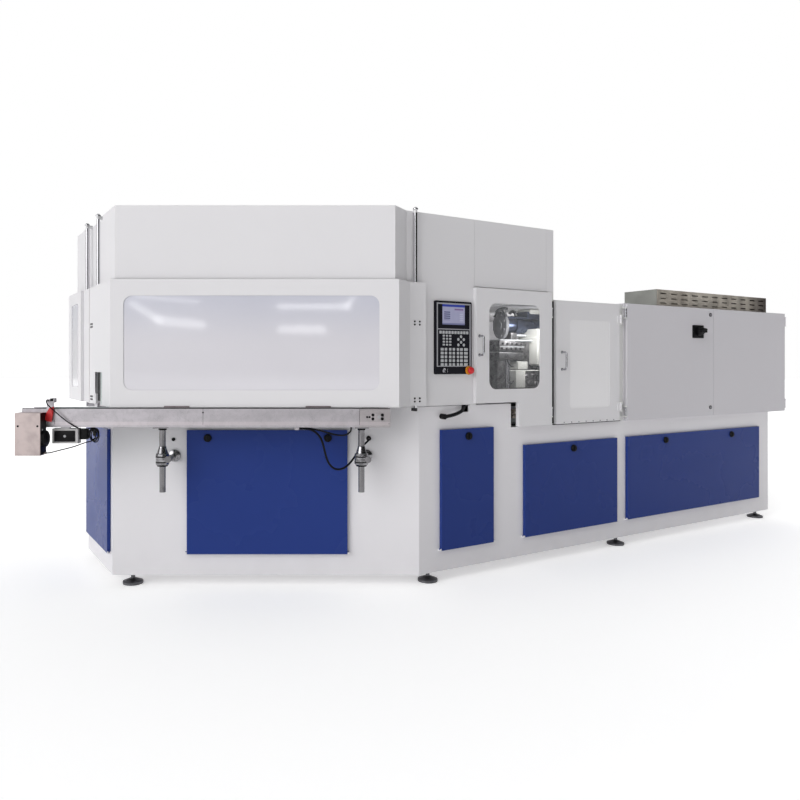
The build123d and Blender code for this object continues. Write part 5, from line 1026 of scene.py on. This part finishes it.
def studio_light():
    """Large soft lights overhead and to the left in a dim room, before a white backdrop."""
    world = bpy.data.worlds.new("studio")
    bpy.context.scene.world = world
    world.use_nodes = True
    room = Graph(world.node_tree)
    heading = room.node("ShaderNodeTexCoord", {}, {}, "Generated")
    lift = room.ramp(room.node("ShaderNodeSeparateXYZ", {}, {"Vector": heading}, "Z"), 0.0, 1.0)
    side = room.along(heading, KEY_LIGHT)
    side = side.math("MAXIMUM", side, 0.0)
    back = room.along(heading, BACKDROP)
    glow = (side ** 12.0) * 5.1 + (lift ** 3.0) * 0.7 + room.ramp(back, 0.25, 0.75) * 0.62 + 0.015
    seen = room.node("ShaderNodeLightPath", {}, {}, "Is Camera Ray")
    sky = world.node_tree.nodes["Background"].inputs
    sky["Color"].default_value = (1, 1, 1, 1)
    room.join(sky["Strength"], room.node("ShaderNodeMix", {"data_type": "FLOAT"},
                                         {"Factor": seen, "A": glow, "B": 1.0}, "Result"))


def lamp(name, spot, target, size, power, tilt=0.0):
    """Soft box lamp that faces a target, turned about that line, and stays out of sight itself."""
    light = bpy.data.lights.new(name, "AREA")
    light.shape = "RECTANGLE"
    light.size, light.size_y = size
    light.energy = power
    made = add_object(name, light)
    made.location = spot
    facing = (Vector(target) - Vector(spot)).to_track_quat("-Z", "Y").to_matrix()
    made.rotation_euler = (facing @ Matrix.Rotation(math.radians(tilt), 3, "Z")).to_euler()
    made.visible_camera = False


# Streaks in the frosted window: middle, length and height in pixels of the picture, glow and tilt
WINDOW_STREAKS = (((314, 306.5), (74, 5), 6.5, 0), ((302, 329.5), (48, 8), 5.0, 0),
                  ((180, 322.5), (50, 9), 4.6, -5), ((146, 312), (36, 6), 5.2, -31),
                  ((166, 299), (66, 3), 4.5, -4), ((350, 301.5), (14, 5), 5.5, 50))
LENS_PIXELS = 699
MIRROR_MIDDLE = Vector((-4.201, -8.096, 1.303))
MIRROR_DEPTH = 11.882
MIDDLE_PIXEL = (328.5, 364)


def streaks():
    """Long lamps in front of the machine, each where the window's plane mirrors its streak."""
    metre = MIRROR_DEPTH / LENS_PIXELS
    target = on_strip(0, 1.11, 1.5)
    for count, (middle, size, glow, tilt) in enumerate(WINDOW_STREAKS, 1):
        right, up = (middle[0] - MIDDLE_PIXEL[0]) * metre, (MIDDLE_PIXEL[1] - middle[1]) * metre
        spot = MIRROR_MIDDLE + Vector((right * COS, -right * SIN, up))
        sides = (size[0] * metre, size[1] * metre)
        lamp(f"streak_lamp_{count}", spot, target, sides, glow * math.pi * sides[0] * sides[1], tilt)


def camera():
    """Camera of the photograph: at eye height, level and turned 30 degrees to the right."""
    lens = bpy.data.cameras.new("camera")
    lens.lens = 31.455
    lens.shift_x = 0.0894
    lens.shift_y = -0.045
    lens.clip_end = 200
    made = add_object("camera", lens)
    made.location = (-2.142, -4.53, 1.303)
    made.rotation_euler = (math.radians(90), 0, math.radians(-30))
    bpy.context.scene.camera = made


studio_floor()
studio_light()
for name, spot, target, size, power in (
        ("head_lamp", (1.15, -0.2, 2.05), (1.35, -0.6, 1.2), (0.5, 0.5), 7),
        ("bay_lamp", (1.72, -0.95, 1.58), (1.85, -0.5, 1.15), (0.36, 0.2), 3),
        ("rear_lamp", (2.3, -0.45, 1.58), (2.5, 0.5, 1.2), (0.4, 0.2), 6)):
    lamp(name, spot, target, size, power)
streaks()
camera()
bpy.context.scene.view_settings.view_transform = "Standard"
